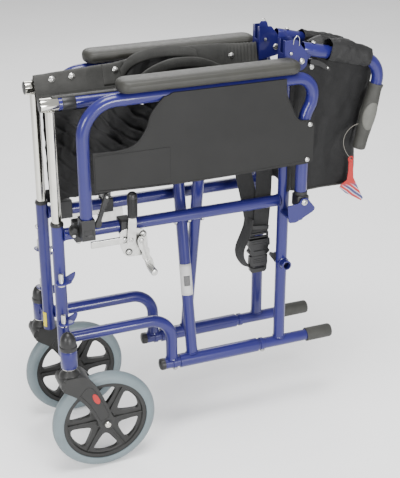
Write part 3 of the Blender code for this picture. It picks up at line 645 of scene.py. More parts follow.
def hanger(s, w, level, z):
    """Bent shelf with a raised horn, and the plated peg that a leg rest hooks over."""
    body = f"{w}_frame"
    x = s * SX
    rim = [(0.0105, -0.0070), (0.0220, -0.0135), (0.0300, -0.0130), (0.0335, -0.0060),
           (0.0310, 0.0070), (0.0255, 0.0150), (0.0175, 0.0120), (0.0090, 0.0070)]
    outline = [(x + s * p[0], F + p[1]) for p in spline(rim, 5, closed=True)]
    shelf = plate(outline, "Z", z + 0.0008, z + 0.0040)
    put(f"hanger_shelf_{level}_{w}", shelf, "blue", body, bevel=0.0009)
    horn = [(F + 0.0040, z + 0.0030), (F + 0.0130, z + 0.0085), (F + 0.0235, z + 0.0130),
            (F + 0.0262, z + 0.0120), (F + 0.0240, z + 0.0030), (F + 0.0160, z - 0.0075),
            (F + 0.0070, z - 0.0070)]
    put(f"hanger_gusset_{level}_{w}", slab(s, horn, SX + 0.0080, SX + 0.0112, 3), "blue", body,
        bevel=0.0008)
    peg = [(0, -0.0040), (0.0036, -0.0040), (0.0042, -0.0030), (0.0042, 0.0000), (0.0062, 0.0000),
           (0.0062, 0.0008), (0.0042, 0.0040), (0.0042, 0.0180), (0.0036, 0.0205),
           (0.0020, 0.0213), (0, 0.0213)]
    at = (s * 0.0780, F - 0.0040, z)
    put(f"hanger_peg_{level}_{w}", lathe(peg, "Z", at, 24), "zinc", body)
    washer = sleeve("Z", at, 0.0043, 0.0068, -0.0022, -0.0006, 24)
    put(f"hanger_washer_{level}_{w}", washer, "chrome", body)


def welds(s, w):
    """Beads where the tubes of a side frame meet."""
    x = s * SX
    solid = bmesh.new()
    spots = [((x, F + TUBE_R, SIDE_Z), "Y"), ((x, R - TUBE_R, SIDE_Z), "Y"),
             ((x, F + TUBE_R, LOWER_Z), "Y"), ((x, LOWER_DROP_Y, BOTTOM_Z + TUBE_R), "Z"),
             ((x, R, BOTTOM_Z + TUBE_R), "Z")]
    for at, axis in spots:
        bead(at, axis, TUBE_R - 0.0002, solid=solid)
    bead((x + s * TUBE_R, R, AXLE_Z), "X", 0.0098, 0.0012, solid)
    bead((x - s * TUBE_R, R, AXLE_Z), "X", 0.0098, 0.0012, solid)
    put(f"weld_beads_{w}", solid, "blue", f"{w}_frame")


def fixings(s, w):
    """Screws, rivets and end stops fixed to the side frame."""
    x = s * SX
    body = f"{w}_frame"
    for i, y in enumerate((R - 0.2245, R - 0.0385)):
        out = Vector((s * 0.62, 0, -0.785))
        at = Vector((x, y, BOTTOM_Z)) + out * (TUBE_R - 0.0004)
        nut(f"stop_nut_{i}_{w}", at, out, body, 0.0052, 0.0042)
        stop = sleeve("Y", (x, y, BOTTOM_Z), TUBE_R + 0.0002, 0.0129, -0.0036, 0.0036)
        put(f"stop_ring_{i}_{w}", stop, "blue", body, bevel=0.0006)
    nut(f"rail_rivet_{w}", (x, F - TUBE_R, 0.4420), (0, -1, 0), body, 0.0042, 0.0030)
    screw(f"upright_screw_{w}", (x, R - TUBE_R + 0.0002, 0.5560), (0, -1, 0), body, 0.0038)


def castor_barrel(s, w):
    """Bearing housing on its two webs, with the cap above and the seal below."""
    x = s * CASTOR_X
    body = f"{w}_frame"
    web = bmesh.new()
    inner, outer = sorted((s * (SX + 0.0104), s * (CASTOR_X - 0.0140)))
    rim = [(inner, 0.2325), (outer, 0.2325), (outer, 0.2590), (inner, 0.2590)]
    for y in (CASTOR_Y - 0.0058, CASTOR_Y + 0.0018):
        plate(rim, "Y", y, y + 0.0040, web)
    put(f"castor_web_{w}", web, "blue", body, bevel=0.0008)
    barrel = [(0, 0.2560), (0.0060, 0.2560), (0.0060, 0.2262), (0.0146, 0.2262), (0.0153, 0.2272),
              (0.0153, 0.2620), (0.0147, 0.2630), (0, 0.2630)]
    put(f"castor_barrel_{w}", lathe(barrel, "Z", (x, CASTOR_Y, 0), 40), "blue", body,
        f"castor_housing_{w}")
    dome = [(0, 0.2632), (0.0160, 0.2632), (0.0164, 0.2650), (0.0164, 0.2702), (0.0150, 0.2718)]
    dome += [(0.0150 * math.cos(math.radians(a)), 0.2750 + 0.0225 * math.sin(math.radians(a)))
             for a in (2, 12, 24, 36, 48, 60, 72, 82)]
    dome += [(0, 0.2975)]
    put(f"castor_cap_{w}", lathe(dome, "Z", (x, CASTOR_Y, 0), 40), "black", body)
    seat = lathe([(0.0062, 0.2244), (0.0138, 0.2244), (0.0142, 0.2250), (0.0142, 0.2259),
                  (0.0062, 0.2259)], "Z", (x, CASTOR_Y, 0), 40)
    put(f"castor_seal_{w}", seat, "chrome", body)
    beads = bead((s * (CASTOR_X - 0.0143), CASTOR_Y, 0.2458), "X", 0.0078, 0.0014)
    put(f"castor_weld_{w}", beads, "blue", body)


def castor_fork(s, w):
    """Two-legged fork with its collar, axle, washers and bolt heads."""
    x = s * CASTOR_X
    y = CASTOR_Y
    body = f"{w}_castor"
    rim = [(y - 0.0110, 0.2125), (y - 0.0190, 0.2085), (y - 0.0228, 0.2000), (y - 0.0205, 0.1900),
           (y - 0.0105, 0.1815), (y + 0.0050, 0.1700), (y + 0.0190, 0.1530), (y + 0.0310, 0.1330),
           (y + 0.0425, 0.1090), (WHEEL_Y - 0.0120, 0.0935), (WHEEL_Y - 0.0070, 0.0870),
           (WHEEL_Y + 0.0010, 0.0845), (WHEEL_Y + 0.0100, 0.0880), (WHEEL_Y + 0.0135, 0.0970),
           (WHEEL_Y + 0.0125, 0.1090), (WHEEL_Y + 0.0040, 0.1340), (y + 0.0545, 0.1620),
           (y + 0.0430, 0.1860), (y + 0.0310, 0.2030), (y + 0.0220, 0.2105), (y + 0.0110, 0.2125)]
    outline = [tuple(p) for p in spline(rim, 4, closed=True)]
    solid = plate(outline, "X", x - 0.0225, x + 0.0225)
    ends = [e for e in solid.edges if abs(e.verts[0].co.x - e.verts[1].co.x) < 1e-6]
    bmesh.ops.bevel(solid, geom=ends, offset=0.0066, offset_type="OFFSET", segments=4, profile=0.5,
                    affect="EDGES", clamp_overlap=True)
    fork = put(f"fork_{w}", solid, "cast", body, f"castor_fork_{w}", angle=50)
    centre = (x, WHEEL_Y, WHEEL_Z)
    cut(fork, rod("X", centre, 0.1046, -0.0158, 0.0158, 96))
    crown = lathe([(0, 0.2040), (0.0205, 0.2040), (0.0203, 0.2085), (0.0188, 0.2125),
                   (0.0165, 0.2160), (0.0120, 0.2205), (0.0108, 0.2243), (0, 0.2243)], "Z",
                  (x, y, 0), 48)
    put(f"fork_collar_{w}", crown, "cast", body, angle=50)
    axle = rod("X", centre, 0.0040, -0.0200, 0.0200, 20)
    put(f"castor_axle_{w}", axle, "zinc", body)
    for tip in (1, -1):
        side = "in" if tip * s < 0 else "out"
        at = (x + tip * 0.0224, WHEEL_Y, WHEEL_Z)
        washer = rod((tip, 0, 0), at, 0.0086, 0, 0.0010)
        put(f"castor_washer_{w}_{side}", washer, "cast", body)
        head = lathe([(0, 0.0010), (0.0058, 0.0010), (0.0062, 0.0022), (0.0052, 0.0040),
                      (0.0034, 0.0046), (0.0030, 0.0030), (0, 0.0030)], (tip, 0, 0), at)
        put(f"castor_bolt_{w}_{side}", head, "chrome", body)
        ridge(x, y, tip, f"{w}_{side}", body)


def ridge(x, y, tip, word, body):
    """Raised rim round the fork leg's face, with the plain oval inlay."""
    face = x + tip * 0.0225
    centre = (R - 0.4025, 0.1600)
    lean = math.radians(-66)
    oval = []
    for k in range(28):
        turn = 2 * math.pi * k / 28
        a, b = 0.0124 * math.cos(turn), 0.0054 * math.sin(turn)
        oval.append((centre[0] + a * math.cos(lean) - b * math.sin(lean),
                     centre[1] + a * math.sin(lean) + b * math.cos(lean)))
    near, far = sorted((face - tip * 0.0010, face + tip * 0.0006))
    put(f"fork_oval_{word}", plate(oval, "X", near, far), "red", body, bevel=0.0004)
    points = [(y + 0.0120, 0.1720), (y + 0.0270, 0.1520), (y + 0.0385, 0.1300), (y + 0.0480, 0.1100),
              (WHEEL_Y - 0.0020, 0.1120), (WHEEL_Y + 0.0035, 0.1180), (y + 0.0580, 0.1380),
              (y + 0.0470, 0.1620), (y + 0.0350, 0.1830), (y + 0.0230, 0.1850)]
    path = [(face + tip * 0.0001, p[0], p[1]) for p in spline(points + points[:1], 4)]
    put(f"fork_rim_{word}", sweep(path, 0.0009, 8), "cast", body, angle=80)


# outline of a window between two spokes: radius, and degrees from its middle
WINDOW = [(0.0692, -15), (0.0700, 0), (0.0692, 15), (0.0655, 21), (0.0580, 21), (0.0450, 17),
          (0.0345, 10), (0.0310, 0), (0.0345, -10), (0.0450, -17), (0.0580, -21), (0.0655, -21)]


def castor_wheel(s, w):
    """Moulded rim with six windows and ribbed spokes, and the solid tyre."""
    x = s * CASTOR_X
    centre = (x, WHEEL_Y, WHEEL_Z)
    body = f"{w}_wheel"
    half = [(0.0045, 0.0146), (0.0110, 0.0146), (0.0125, 0.0136), (0.0165, 0.0120),
            (0.0185, 0.0060), (0.0220, 0.0046), (0.0690, 0.0042), (0.0722, 0.0052),
            (0.0738, 0.0092), (0.0812, 0.0096)]
    profile = half + [(r, -d) for r, d in reversed(half)]
    rim = put(f"rim_{w}", lathe(profile, "X", centre, 96), "cast", body, f"castor_rim_{w}")
    holes = bmesh.new()
    for k in range(6):
        middle = 30 + 60 * k
        pts = [polar(centre, radius, middle + swing) for radius, swing in WINDOW]
        plate([tuple(p) for p in spline(pts, 5, closed=True)], "X", x - 0.02, x + 0.02, holes)
    cut(rim, holes)
    soften(rim, 0.0010, 2, 50)
    ribs = bmesh.new()
    for k in range(6):
        turn = math.radians(60 * k)
        out = Vector((0, math.cos(turn), math.sin(turn)))
        across = Vector((0, -math.sin(turn), math.cos(turn)))
        rings = []
        for run, wide, deep in ((0.0150, 0.0024, 0.0088), (0.0400, 0.0014, 0.0062),
                                (0.0735, 0.0016, 0.0072)):
            base = Vector(centre) + out * run
            rings.append([ribs.verts.new(base + across * a * wide + Vector((b * deep, 0, 0)))
                          for a, b in ((-1, -1), (1, -1), (1, 1), (-1, 1))])
        loft(ribs, rings)
    put(f"rim_ribs_{w}", ribs, "cast", body, bevel=0.0010)
    tread = arc((0.0872, 0), 0.0128, -84, 84, 18)
    tyre = [(0.0812, -0.0118), (0.0850, -0.0126)] + tread + [(0.0850, 0.0126), (0.0812, 0.0118)]
    put(f"tyre_{w}", lathe(tyre, "X", centre, 96), "tyre", body, f"castor_tyre_{w}")


def polar(centre, radius, degrees):
    """Point (y, z) at an angle round a wheel's centre."""
    turn = math.radians(degrees)
    return (centre[1] + radius * math.cos(turn), centre[2] + radius * math.sin(turn))


# ---- fittings on the side rail ---------------------------------------------
def arm_socket(s, w):
    """Moulded socket and saddle, with its catch, knob and clamp screw."""
    body = f"{w}_frame"
    y = ARM_FRONT_Y
    x = s * SX
    block = put(f"saddle_{w}", side_box(s, 0.0405, 0.0690, y, 0.0130, 0.4545, 0.4900), "black",
                body, f"arm_socket_{w}")
    cut(block, rod("Y", (x, y, SIDE_Z), TUBE_R + 0.0002, -0.030, 0.030, 40))
    cut(block, rod("Y", (x, y, 0.5040), 0.0156, -0.030, 0.030, 40))
    soften(block, 0.0012)
    put(f"socket_arm_{w}", side_box(s, 0.0680, 0.0850, y, 0.0075, 0.4690, 0.4860), "black", body,
        bevel=0.0012)
    socket = put(f"socket_{w}", side_box(s, 0.0838, 0.1110, y, 0.0120, 0.4740, 0.5125), "black",
                 body)
    cut(socket, rod("Z", (s * ARM_X, y, 0), TUBE_R + 0.0005, 0.4985, 0.5300, 40))
    cut(socket, side_box(s, 0.1096, 0.1140, y, 0.0075, 0.4830, 0.4940))
    soften(socket, 0.0012, 2)
    ear = [(y - 0.0290, 0.4890), (y - 0.0262, 0.4972), (y - 0.0200, 0.4985), (y - 0.0125, 0.4950),
           (y - 0.0125, 0.4740), (y - 0.0190, 0.4715), (y - 0.0262, 0.4770)]
    put(f"catch_plate_{w}", slab(s, ear, 0.0850, 0.0875, 3), "black", body, bevel=0.0006)
    near, far = sorted((s * 0.0870, s * 0.0950))
    knob = lathe([(0, near), (0.0044, near), (0.0052, near + 0.001), (0.0054, far - 0.002),
                  (0.0044, far), (0, far)], "X", (0, y - 0.0205, 0.4900), 24)
    put(f"catch_knob_{w}", knob, "black", body)
    nut(f"catch_nut_{w}", (s * 0.0875, y - 0.0205, 0.4780), (s, 0, 0), body, 0.0034, 0.0028)
    nut(f"saddle_nut_{w}", (s * 0.0620, y - 0.0060, 0.4545), (0, 0, -1), body, 0.0045, 0.0040)


def arm_pivot(s, w):
    """Strap on the rear upright and the cheek plate of the armrest pivot."""
    body = f"{w}_frame"
    rim = [(R - 0.0200, 0.4800), (R + 0.0030, 0.4820), (R + 0.0080, 0.4905), (R + 0.0190, 0.4915),
           (R + 0.0250, 0.4840), (R + 0.0370, 0.4690), (R + 0.0340, 0.4630), (R - 0.0020, 0.4445),
           (R - 0.0170, 0.4455)]
    soft = 0.0022
    outline = []
    for i, corner in enumerate(rim):
        here = Vector(corner)
        for other in (rim[i - 1], rim[(i + 1) % len(rim)]):
            outline.append(tuple(here + (Vector(other) - here).normalized() * soft))
    put(f"pivot_cheek_{w}", slab(s, outline, 0.1122, 0.1152), "blue", body, f"arm_bracket_{w}",
        bevel=0.0008)
    strap = [(R - 0.0110, 0.4470), (R + 0.0100, 0.4470), (R + 0.0130, 0.4490), (R + 0.0130, 0.4515),
             (R - 0.0110, 0.4510)]
    put(f"pivot_strap_{w}", slab(s, strap, SX + 0.0105, 0.1126), "blue", body, bevel=0.0006)
    screw(f"pivot_screw_{w}", (s * 0.1152, ARM_REAR_Y, ARM_PIVOT_Z), (s, 0, 0), body, 0.0062, 0.0036)
    put(f"pivot_pin_{w}", rod("X", (0, ARM_REAR_Y, ARM_PIVOT_Z), 0.0031,
                              *sorted((s * 0.0840, s * 0.1150)), 20), "zinc", body)


def arm(s, w):
    """Flip-back armrest: tube, pivot clamp, pad and clothing guard."""
    x = s * ARM_X
    body = f"{w}_arm"
    front = 0.061
    path = [(ARM_FRONT_Y, 0.5000)]
    path += arc((ARM_FRONT_Y + front, ARM_TOP_Z - front), front, 180, 90, 24)
    path += arc((R - 0.003, ARM_TOP_Z - 0.032), 0.032, 90, -12, 20)
    tail = [path[-1], (ARM_REAR_Y + 0.0128, 0.6680), (ARM_REAR_Y + 0.0060, 0.6540),
            (ARM_REAR_Y + 0.0014, 0.6400), (ARM_REAR_Y, 0.6240)]
    path = path[:-1] + [tuple(p) for p in spline(tail, 6)]
    path += [(ARM_REAR_Y, 0.4960)]
    put(f"armrest_tube_{w}", sweep(yz(x, path), TUBE_R), "blue", body, f"arm_tube_{w}")
    collar = sleeve("Z", (x, ARM_FRONT_Y, 0), 0.0090, 0.0108, 0.5003, 0.4990)
    put(f"armrest_foot_{w}", collar, "black", body)
    clamp = box((x - 0.0132, ARM_REAR_Y - 0.0118, 0.4700),
                (x + 0.0132, ARM_REAR_Y + 0.0118, 0.4945))
    block = put(f"pivot_clamp_{w}", clamp, "black", body)
    cut(block, rod("X", (x, ARM_REAR_Y, ARM_PIVOT_Z), 0.0034, -0.0200, 0.0200, 24))
    soften(block, 0.0024, 3)
    hoop = lathe([(0.0113, 0.4945), (0.0126, 0.4945), (0.0128, 0.4955), (0.0124, 0.5005),
                  (0.0113, 0.5010)], "Z", (x, ARM_REAR_Y, 0))
    put(f"pivot_collar_{w}", hoop, "black", body)
    pad(x, w, body)
    guard(s, w, body)


def pad(x, w, body):
    """Foam pad: rounded bar with a moulded seam, softly uneven."""
    length, half, thick = 0.3360, 0.0262, 0.0126
    low_z = ARM_TOP_Z + TUBE_R - 0.0002
    middle = low_z + thick
    y0 = R - 0.3370
    solid = bmesh.new()
    rings = []
    for i in range(57):
        t = i / 56
        run = length * (0.5 - 0.5 * math.cos(math.pi * t)) * 0.35 + length * t * 0.65
        end = min(run, length - run)
        tip = 0.019
        scale = 1.0 if end > tip else math.sqrt(max(0.0, 1 - ((tip - end) / tip) ** 2))
        scale = max(scale, 0.10)
        ring = []
        for k in range(48):
            turn = 2 * math.pi * k / 48
            c, q = math.cos(turn), math.sin(turn)
            a = math.copysign(abs(c) ** 0.70, c) * (half - 0.0105 * (1 - scale))
            b = math.copysign(abs(q) ** (0.72 if q > 0 else 0.9), q) * thick
            a *= 1.0 if scale > 0.98 else 0.35 + 0.65 * scale
            a *= 1.0 if q > 0 else 1 + 0.10 * q
            b *= 0.45 + 0.55 * scale
            soft = 1 + 0.014 * noise.noise(Vector((x * 40, run * 26, turn)))
            seam = 1 - 0.030 * math.exp(-((q - 0.42) / 0.075) ** 2)
            ring.append(solid.verts.new((x + a * soft * seam, y0 + run, middle + b * soft)))
        rings.append(ring)
    loft(solid, rings)
    made = put(f"armrest_pad_{w}", solid, "pad", None, angle=60)
    smooth = made.modifiers.new("soft", "SUBSURF")
    smooth.levels = smooth.render_levels = 1
    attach(made, body)
    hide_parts(f"arm_pad_{w}")
    for i, run in enumerate((0.045, 0.285)):
        at = (x, y0 + run, ARM_TOP_Z - TUBE_R + 0.0004)
        screw(f"pad_screw_{i}_{w}", at, (0, 0, -1), body, 0.0036, 0.0020)


def guard(s, w, body):
    """Clothing guard: grained sheet with a rolled lower lip and a pressed step."""
    corners = [(R - 0.3860, 0.5630, 0.003), (R - 0.1880, 0.5560, 0.08), (R + 0.0190, 0.5580, 0.004),
               (R + 0.0285, 0.5620, 0.004), (R + 0.0285, 0.6330, 0.004), (R + 0.0215, 0.6395, 0.004),
               (R - 0.0030, 0.6405, 0.014), (R - 0.0285, 0.6960, 0.010), (R - 0.0290, 0.7225, 0.002),
               (R - 0.2440, 0.7225, 0.004)]
    rim = []
    count = len(corners)
    for i, (a, b, soft) in enumerate(corners):
        here = Vector((a, b))
        before = Vector(corners[i - 1][:2]) if i else Vector((R - 0.3860, 0.6290))
        after = Vector(corners[i + 1][:2]) if i + 1 < count else Vector((R - 0.2820, 0.6870))
        start = here + (before - here).normalized() * min(soft, (before - here).length * 0.45)
        stop = here + (after - here).normalized() * min(soft, (after - here).length * 0.45)
        for k in range(5):
            t = k / 4
            rim.append(start * (1 - t) ** 2 + here * 2 * t * (1 - t) + stop * t * t)
    curve = [(R - 0.2560, 0.7170), (R - 0.2690, 0.7040), (R - 0.2815, 0.6870), (R - 0.2885, 0.6665),
             (R - 0.3010, 0.6470), (R - 0.3165, 0.6355), (R - 0.3380, 0.6310), (R - 0.3620, 0.6310),
             (R - 0.3860, 0.6318)]
    rim += [Vector(p) for p in spline(curve, 4)]
    put(f"guard_{w}", slab(s, [tuple(p) for p in rim], SKIRT_X, SKIRT_X + 0.0026), "panel", body,
        f"clothing_guard_{w}", bevel=0.0009, angle=60)
    face = s * (SKIRT_X + 0.0024)
    near, far = sorted((face, face + s * 0.0012))
    step = [(R - 0.3835, 0.5655), (R - 0.2480, 0.5610), (R - 0.2480, 0.6265), (R - 0.3835, 0.6270)]
    put(f"guard_step_{w}", plate(step, "X", near, far), "panel", body, bevel=0.0008, segments=3)
    lip = []
    for i in range(33):
        t = i / 32
        lip.append((s * (SKIRT_X + 0.0017), R - 0.3850 + 0.4030 * t,
                    0.5640 - 0.0062 * math.sin(math.pi * min(1.0, t * 1.02)) ** 0.8))
    put(f"guard_lip_{w}", sweep(lip, 0.0021, 12), "panel", body)
    trim = [(s * (SKIRT_X + 0.0016), p[0], p[1]) for p in spline(curve, 4)]
    put(f"guard_trim_{w}", sweep(trim, 0.0018, 12), "panel", body)
    rear = spline([(R - 0.0285, 0.6900), (R - 0.0190, 0.6690), (R - 0.0105, 0.6520),
                   (R - 0.0010, 0.6425), (R + 0.0100, 0.6405), (R + 0.0200, 0.6395)], 4)
    put(f"guard_rear_trim_{w}", sweep([(s * (SKIRT_X + 0.0016), p[0], p[1]) for p in rear], 0.0016,
                                      12), "panel", body)
    for i, (y, z) in enumerate(((R + 0.0195, 0.6330), (R + 0.0165, 0.5665))):
        screw(f"guard_screw_{i}_{w}", (s * (SKIRT_X + 0.0025), y, z), (s, 0, 0), body, 0.0046,
              0.0030)


def arm_release(s, w):
    """Ribbed plastic lever with a button near its top."""
    y = ARM_FRONT_Y + 0.0165
    body = f"{w}_arm_release"
    rim = [(y - 0.0005, 0.4925), (y + 0.0075, 0.4920), (y + 0.0105, 0.4990), (y + 0.0112, 0.5080),
           (y + 0.0215, 0.5340), (y + 0.0250, 0.5420), (y + 0.0245, 0.5500), (y + 0.0210, 0.5525),
           (y + 0.0170, 0.5490), (y + 0.0055, 0.5140), (y - 0.0005, 0.5020)]
    put(f"release_{w}", slab(s, rim, 0.0955, 0.1015, 3), "black", body, f"arm_release_{w}",
        bevel=0.0012)
    ribs = bmesh.new()
    lean = Vector((0, 0.36, 0.93)).normalized()
    across = lean.cross(Vector((1, 0, 0))) * 0.0032
    for k in range(5):
        for out in (-0.0030, 0.0030):
            middle = Vector((s * 0.0985 + out, y + 0.0118, 0.5215)) + lean * (k - 2) * 0.0036
            middle.y += 0.0012 * (k - 2)
            sweep([middle - across, middle + across], 0.0007, 8, ribs)
    put(f"release_ribs_{w}", ribs, "black", body)
    screw(f"release_dot_{w}", (s * 0.1014, y + 0.0212, 0.5465), (s, 0, 0), body, 0.0022, 0.0012,
          "zinc", drive=False)


def brake(s, w):
    """Push-to-lock brake: clamp, side plate, lever, links and the shoe."""
    body = f"{w}_frame"
    x = s * SX
    near, far = sorted((s * 0.0400, s * 0.0705))
    clamp = put(f"brake_clamp_{w}", box((near, R - 0.3275, 0.4545), (far, R - 0.3065, 0.4815)),
                "black", body, f"brake_base_{w}")
    cut(clamp, rod("Y", (x, R - 0.3170, SIDE_Z), TUBE_R + 0.0002, -0.030, 0.030, 40))
    soften(clamp, 0.0018, 2)
    rim = [(R - 0.3300, 0.4620), (R - 0.3310, 0.4400), (R - 0.3250, 0.4200), (R - 0.3150, 0.4120),
           (R - 0.2960, 0.4110), (R - 0.2830, 0.4110), (R - 0.2790, 0.4200), (R - 0.2800, 0.4480),
           (R - 0.2860, 0.4610), (R - 0.3000, 0.4660), (R - 0.3180, 0.4670)]
    put(f"brake_plate_{w}", slab(s, rim, 0.0695, 0.0718, 3), "zinc", body, bevel=0.0006)
    bar = [(R - 0.3850, 0.4400), (R - 0.3250, 0.4400), (R - 0.3250, 0.4530), (R - 0.3850, 0.4530)]
    put(f"brake_bar_{w}", slab(s, bar, 0.0690, 0.0742), "zinc", body, bevel=0.0014)
    for i, (y, z) in enumerate(((R - 0.3230, 0.4465), (R - 0.2875, 0.4530), (R - 0.3150, 0.4215),
                               (R - 0.2865, 0.4195))):
        ring = sleeve((s, 0, 0), (s * 0.0718, y, z), 0.0034, 0.0066, 0, 0.0007, 28)
        put(f"brake_ring_{i}_{w}", ring, "cast", body)
        screw(f"brake_rivet_{i}_{w}", (s * 0.0718, y, z), (s, 0, 0), body, 0.0052, 0.0030)
    brake_lever(s, w)
    brake_shoe(s, w)


def brake_lever(s, w):
    """Plated lever with its fluted black grip."""
    body = f"{w}_brake_lever"
    rim = [(R - 0.3190, 0.4420), (R - 0.3150, 0.4375), (R - 0.3085, 0.4375), (R - 0.3035, 0.4430),
           (R - 0.3015, 0.4600), (R - 0.3015, 0.4900), (R - 0.3145, 0.4900), (R - 0.3170, 0.4650)]
    put(f"lever_{w}", slab(s, rim, 0.0733, 0.0768, 3), "zinc", body, f"brake_lever_{w}",
        bevel=0.0006)
    stations = [(0.0, 0.30), (0.0015, 0.75), (0.0045, 0.98), (0.0200, 1.0), (0.0400, 1.0),
                (0.0470, 0.90), (0.0500, 0.60), (0.0508, 0.25)]
    solid = bmesh.new()
    rings = []
    for run, scale in stations:
        ring = []
        for k in range(20):
            turn = 2 * math.pi * k / 20
            ring.append(solid.verts.new((s * 0.0760 + 0.0080 * scale * math.cos(turn),
                                         R - 0.3075 + 0.0094 * scale * math.sin(turn),
                                         0.4880 + run)))
        rings.append(ring)
    loft(solid, rings)
    put(f"lever_grip_{w}", solid, "black", body, angle=70)
    flutes = bmesh.new()
    for k in range(-2, 3):
        sweep([(s * 0.0838, R - 0.3075 + k * 0.0026, 0.4945),
               (s * 0.0841, R - 0.3075 + k * 0.0026, 0.5260)], 0.0007, 8, flutes)
    put(f"lever_flutes_{w}", flutes, "black", body)
    screw(f"lever_rivet_{w}", (s * 0.0766, R - 0.3120, 0.4470), (s, 0, 0), body, 0.0046, 0.0022)


def brake_shoe(s, w):
    """Cranked arm and the round bar that presses on the rear wheel's tyre."""
    body = f"{w}_brake_shoe"
    rim = [(R - 0.3005, 0.4430), (R - 0.2985, 0.4505), (R - 0.2900, 0.4515), (R - 0.2850, 0.4440),
           (R - 0.2835, 0.4330), (R - 0.2785, 0.4240), (R - 0.2785, 0.4130), (R - 0.2735, 0.4040),
           (R - 0.2700, 0.3900), (R - 0.2712, 0.3812), (R - 0.2790, 0.3795), (R - 0.2840, 0.3860),
           (R - 0.2880, 0.4010), (R - 0.2920, 0.4090), (R - 0.2930, 0.4200), (R - 0.2980, 0.4300)]
    put(f"shoe_{w}", slab(s, rim, 0.0780, 0.0812, 3), "zinc", body, f"brake_shoe_{w}",
        bevel=0.0006)
    rib = [(s * 0.0814, R - 0.2915, 0.4400), (s * 0.0816, R - 0.2880, 0.4250),
           (s * 0.0816, R - 0.2835, 0.4080), (s * 0.0814, R - 0.2790, 0.3930)]
    put(f"shoe_rib_{w}", sweep(spline(rib, 4), 0.0013, 10), "zinc", body)
    bar = lathe([(0, 0), (0.0050, 0), (0.0065, 0.0015), (0.0066, 0.0235), (0.0056, 0.0256),
                 (0.0025, 0.0266), (0, 0.0266)], (s, 0, 0), (s * 0.0800, R - 0.2780, 0.3880), 28)
    put(f"shoe_bar_{w}", bar, "zinc", body)
    screw(f"shoe_rivet_{w}", (s * 0.0810, R - 0.2935, 0.4440), (s, 0, 0), body, 0.0046, 0.0024)


# ---- cross brace, posts and seat rails -------------------------------------
def brace(name, low_side, y):
    """Brace tube with its turning sleeve below and its seat rail above; its body has its name."""
    low_x, high_x = low_side * SX, -low_side * SX
    slope = Vector((high_x - low_x, 0, SEAT_Z - BOTTOM_Z)).normalized()
    start = Vector((low_x, y, BOTTOM_Z)) + slope * 0.0125
    stop = Vector((high_x, y, SEAT_Z)) - slope * 0.0100
    put(f"{name}_tube", sweep([start, stop], TUBE_R), "blue", name, name)
    front, rear = R - 0.2130, R - 0.0480
    turning = sleeve("Y", (low_x, 0, BOTTOM_Z), 0.0114, 0.0137, front, rear, 40)
    put(f"{name}_sleeve", turning, "blue", name, bevel=0.0006)
    rail = lathe([(0, R - 0.0300), (0.0106, R - 0.0300), (0.0112, R - 0.0306),
                  (0.0112, R - 0.4258), (0.0108, R - 0.4263), (0.0080, R - 0.4263),
                  (0.0080, R - 0.3790), (0, R - 0.3790)], "Y", (high_x, 0, SEAT_Z), 40)
    put(f"{name}_rail", rail, "blue", name)
    end = lathe([(0, -0.0298), (0.0116, -0.0298), (0.0118, -0.0262), (0.0100, -0.0240),
                 (0, -0.0236)], "Y", (high_x, R, SEAT_Z), 32)
    put(f"{name}_rail_cap", end, "black", name)
    beads = bead(start, slope, TUBE_R + 0.0004, 0.0015)
    bead(stop, slope, TUBE_R + 0.0004, 0.0015, beads)
    put(f"{name}_welds", beads, "blue", name)
    seat_sleeve = lathe([(0.0114, R - 0.4200), (0.0124, R - 0.4198), (0.0126, R - 0.4185),
                         (0.0126, R - 0.3980), (0.0120, R - 0.3970), (0.0114, R - 0.3970)], "Y",
                        (high_x, 0, SEAT_Z), 40)
    put(f"{name}_rail_sleeve", seat_sleeve, "black", name)
    if name == "brace_a":
        upward = (stop - start).normalized()
        middle = start + upward * 0.150
        wrap("blank_label", middle - upward * 0.031, middle + upward * 0.031, "label", 78, 0.0004)
        wrap("label_block", middle - upward * 0.012, middle + upward * 0.008, "inkgrey", 30, 0.0007,
             centre=8)


def wrap(name, low, high, finish, spread, lift, centre=0):
    """Plain film wrapped round the first brace's tube, over twice spread degrees."""
    along = (high - low).normalized()
    out = (Vector((1, -0.35, 0)) - along * along.x).normalized()
    side = along.cross(out)
    solid = bmesh.new()
    rings = []
    for i in range(9):
        spot = low.lerp(high, i / 8)
        ring = []
        for k in range(17):
            turn = math.radians(centre - spread + 2 * spread * k / 16)
            ring.append(solid.verts.new(spot + (out * math.cos(turn) + side * math.sin(turn))
                                        * (TUBE_R + lift)))
        rings.append(ring)
    bridge(solid, rings, round_it=False)
    put(name, solid, finish, "brace_a", thick=0.0003)


def cross_bolt():
    """Bolt, spacer and nut on which the two braces turn."""
    middle = (BRACE_A_Y + BRACE_B_Y) / 2
    reach = (BRACE_B_Y - BRACE_A_Y) / 2
    body = "brace_a"
    at = (0, middle, BOLT_Z)
    shaft = lathe([(0, -reach - 0.0120), (0.0040, -reach - 0.0120), (0.0040, -0.0026),
                   (0.0078, -0.0026), (0.0078, 0.0026), (0.0040, 0.0026),
                   (0.0040, reach + 0.0130), (0, reach + 0.0130)], "Y", at, 24)
    put("brace_bolt", shaft, "zinc", body, "cross_bolt")
    screw("brace_bolt_head", (0, middle - reach - TUBE_R - 0.0004, BOLT_Z), (0, -1, 0), body,
          0.0080, 0.0050)
    nut("brace_bolt_nut", (0, middle + reach + TUBE_R + 0.0004, BOLT_Z), (0, 1, 0), body, 0.0078,
        0.0060)


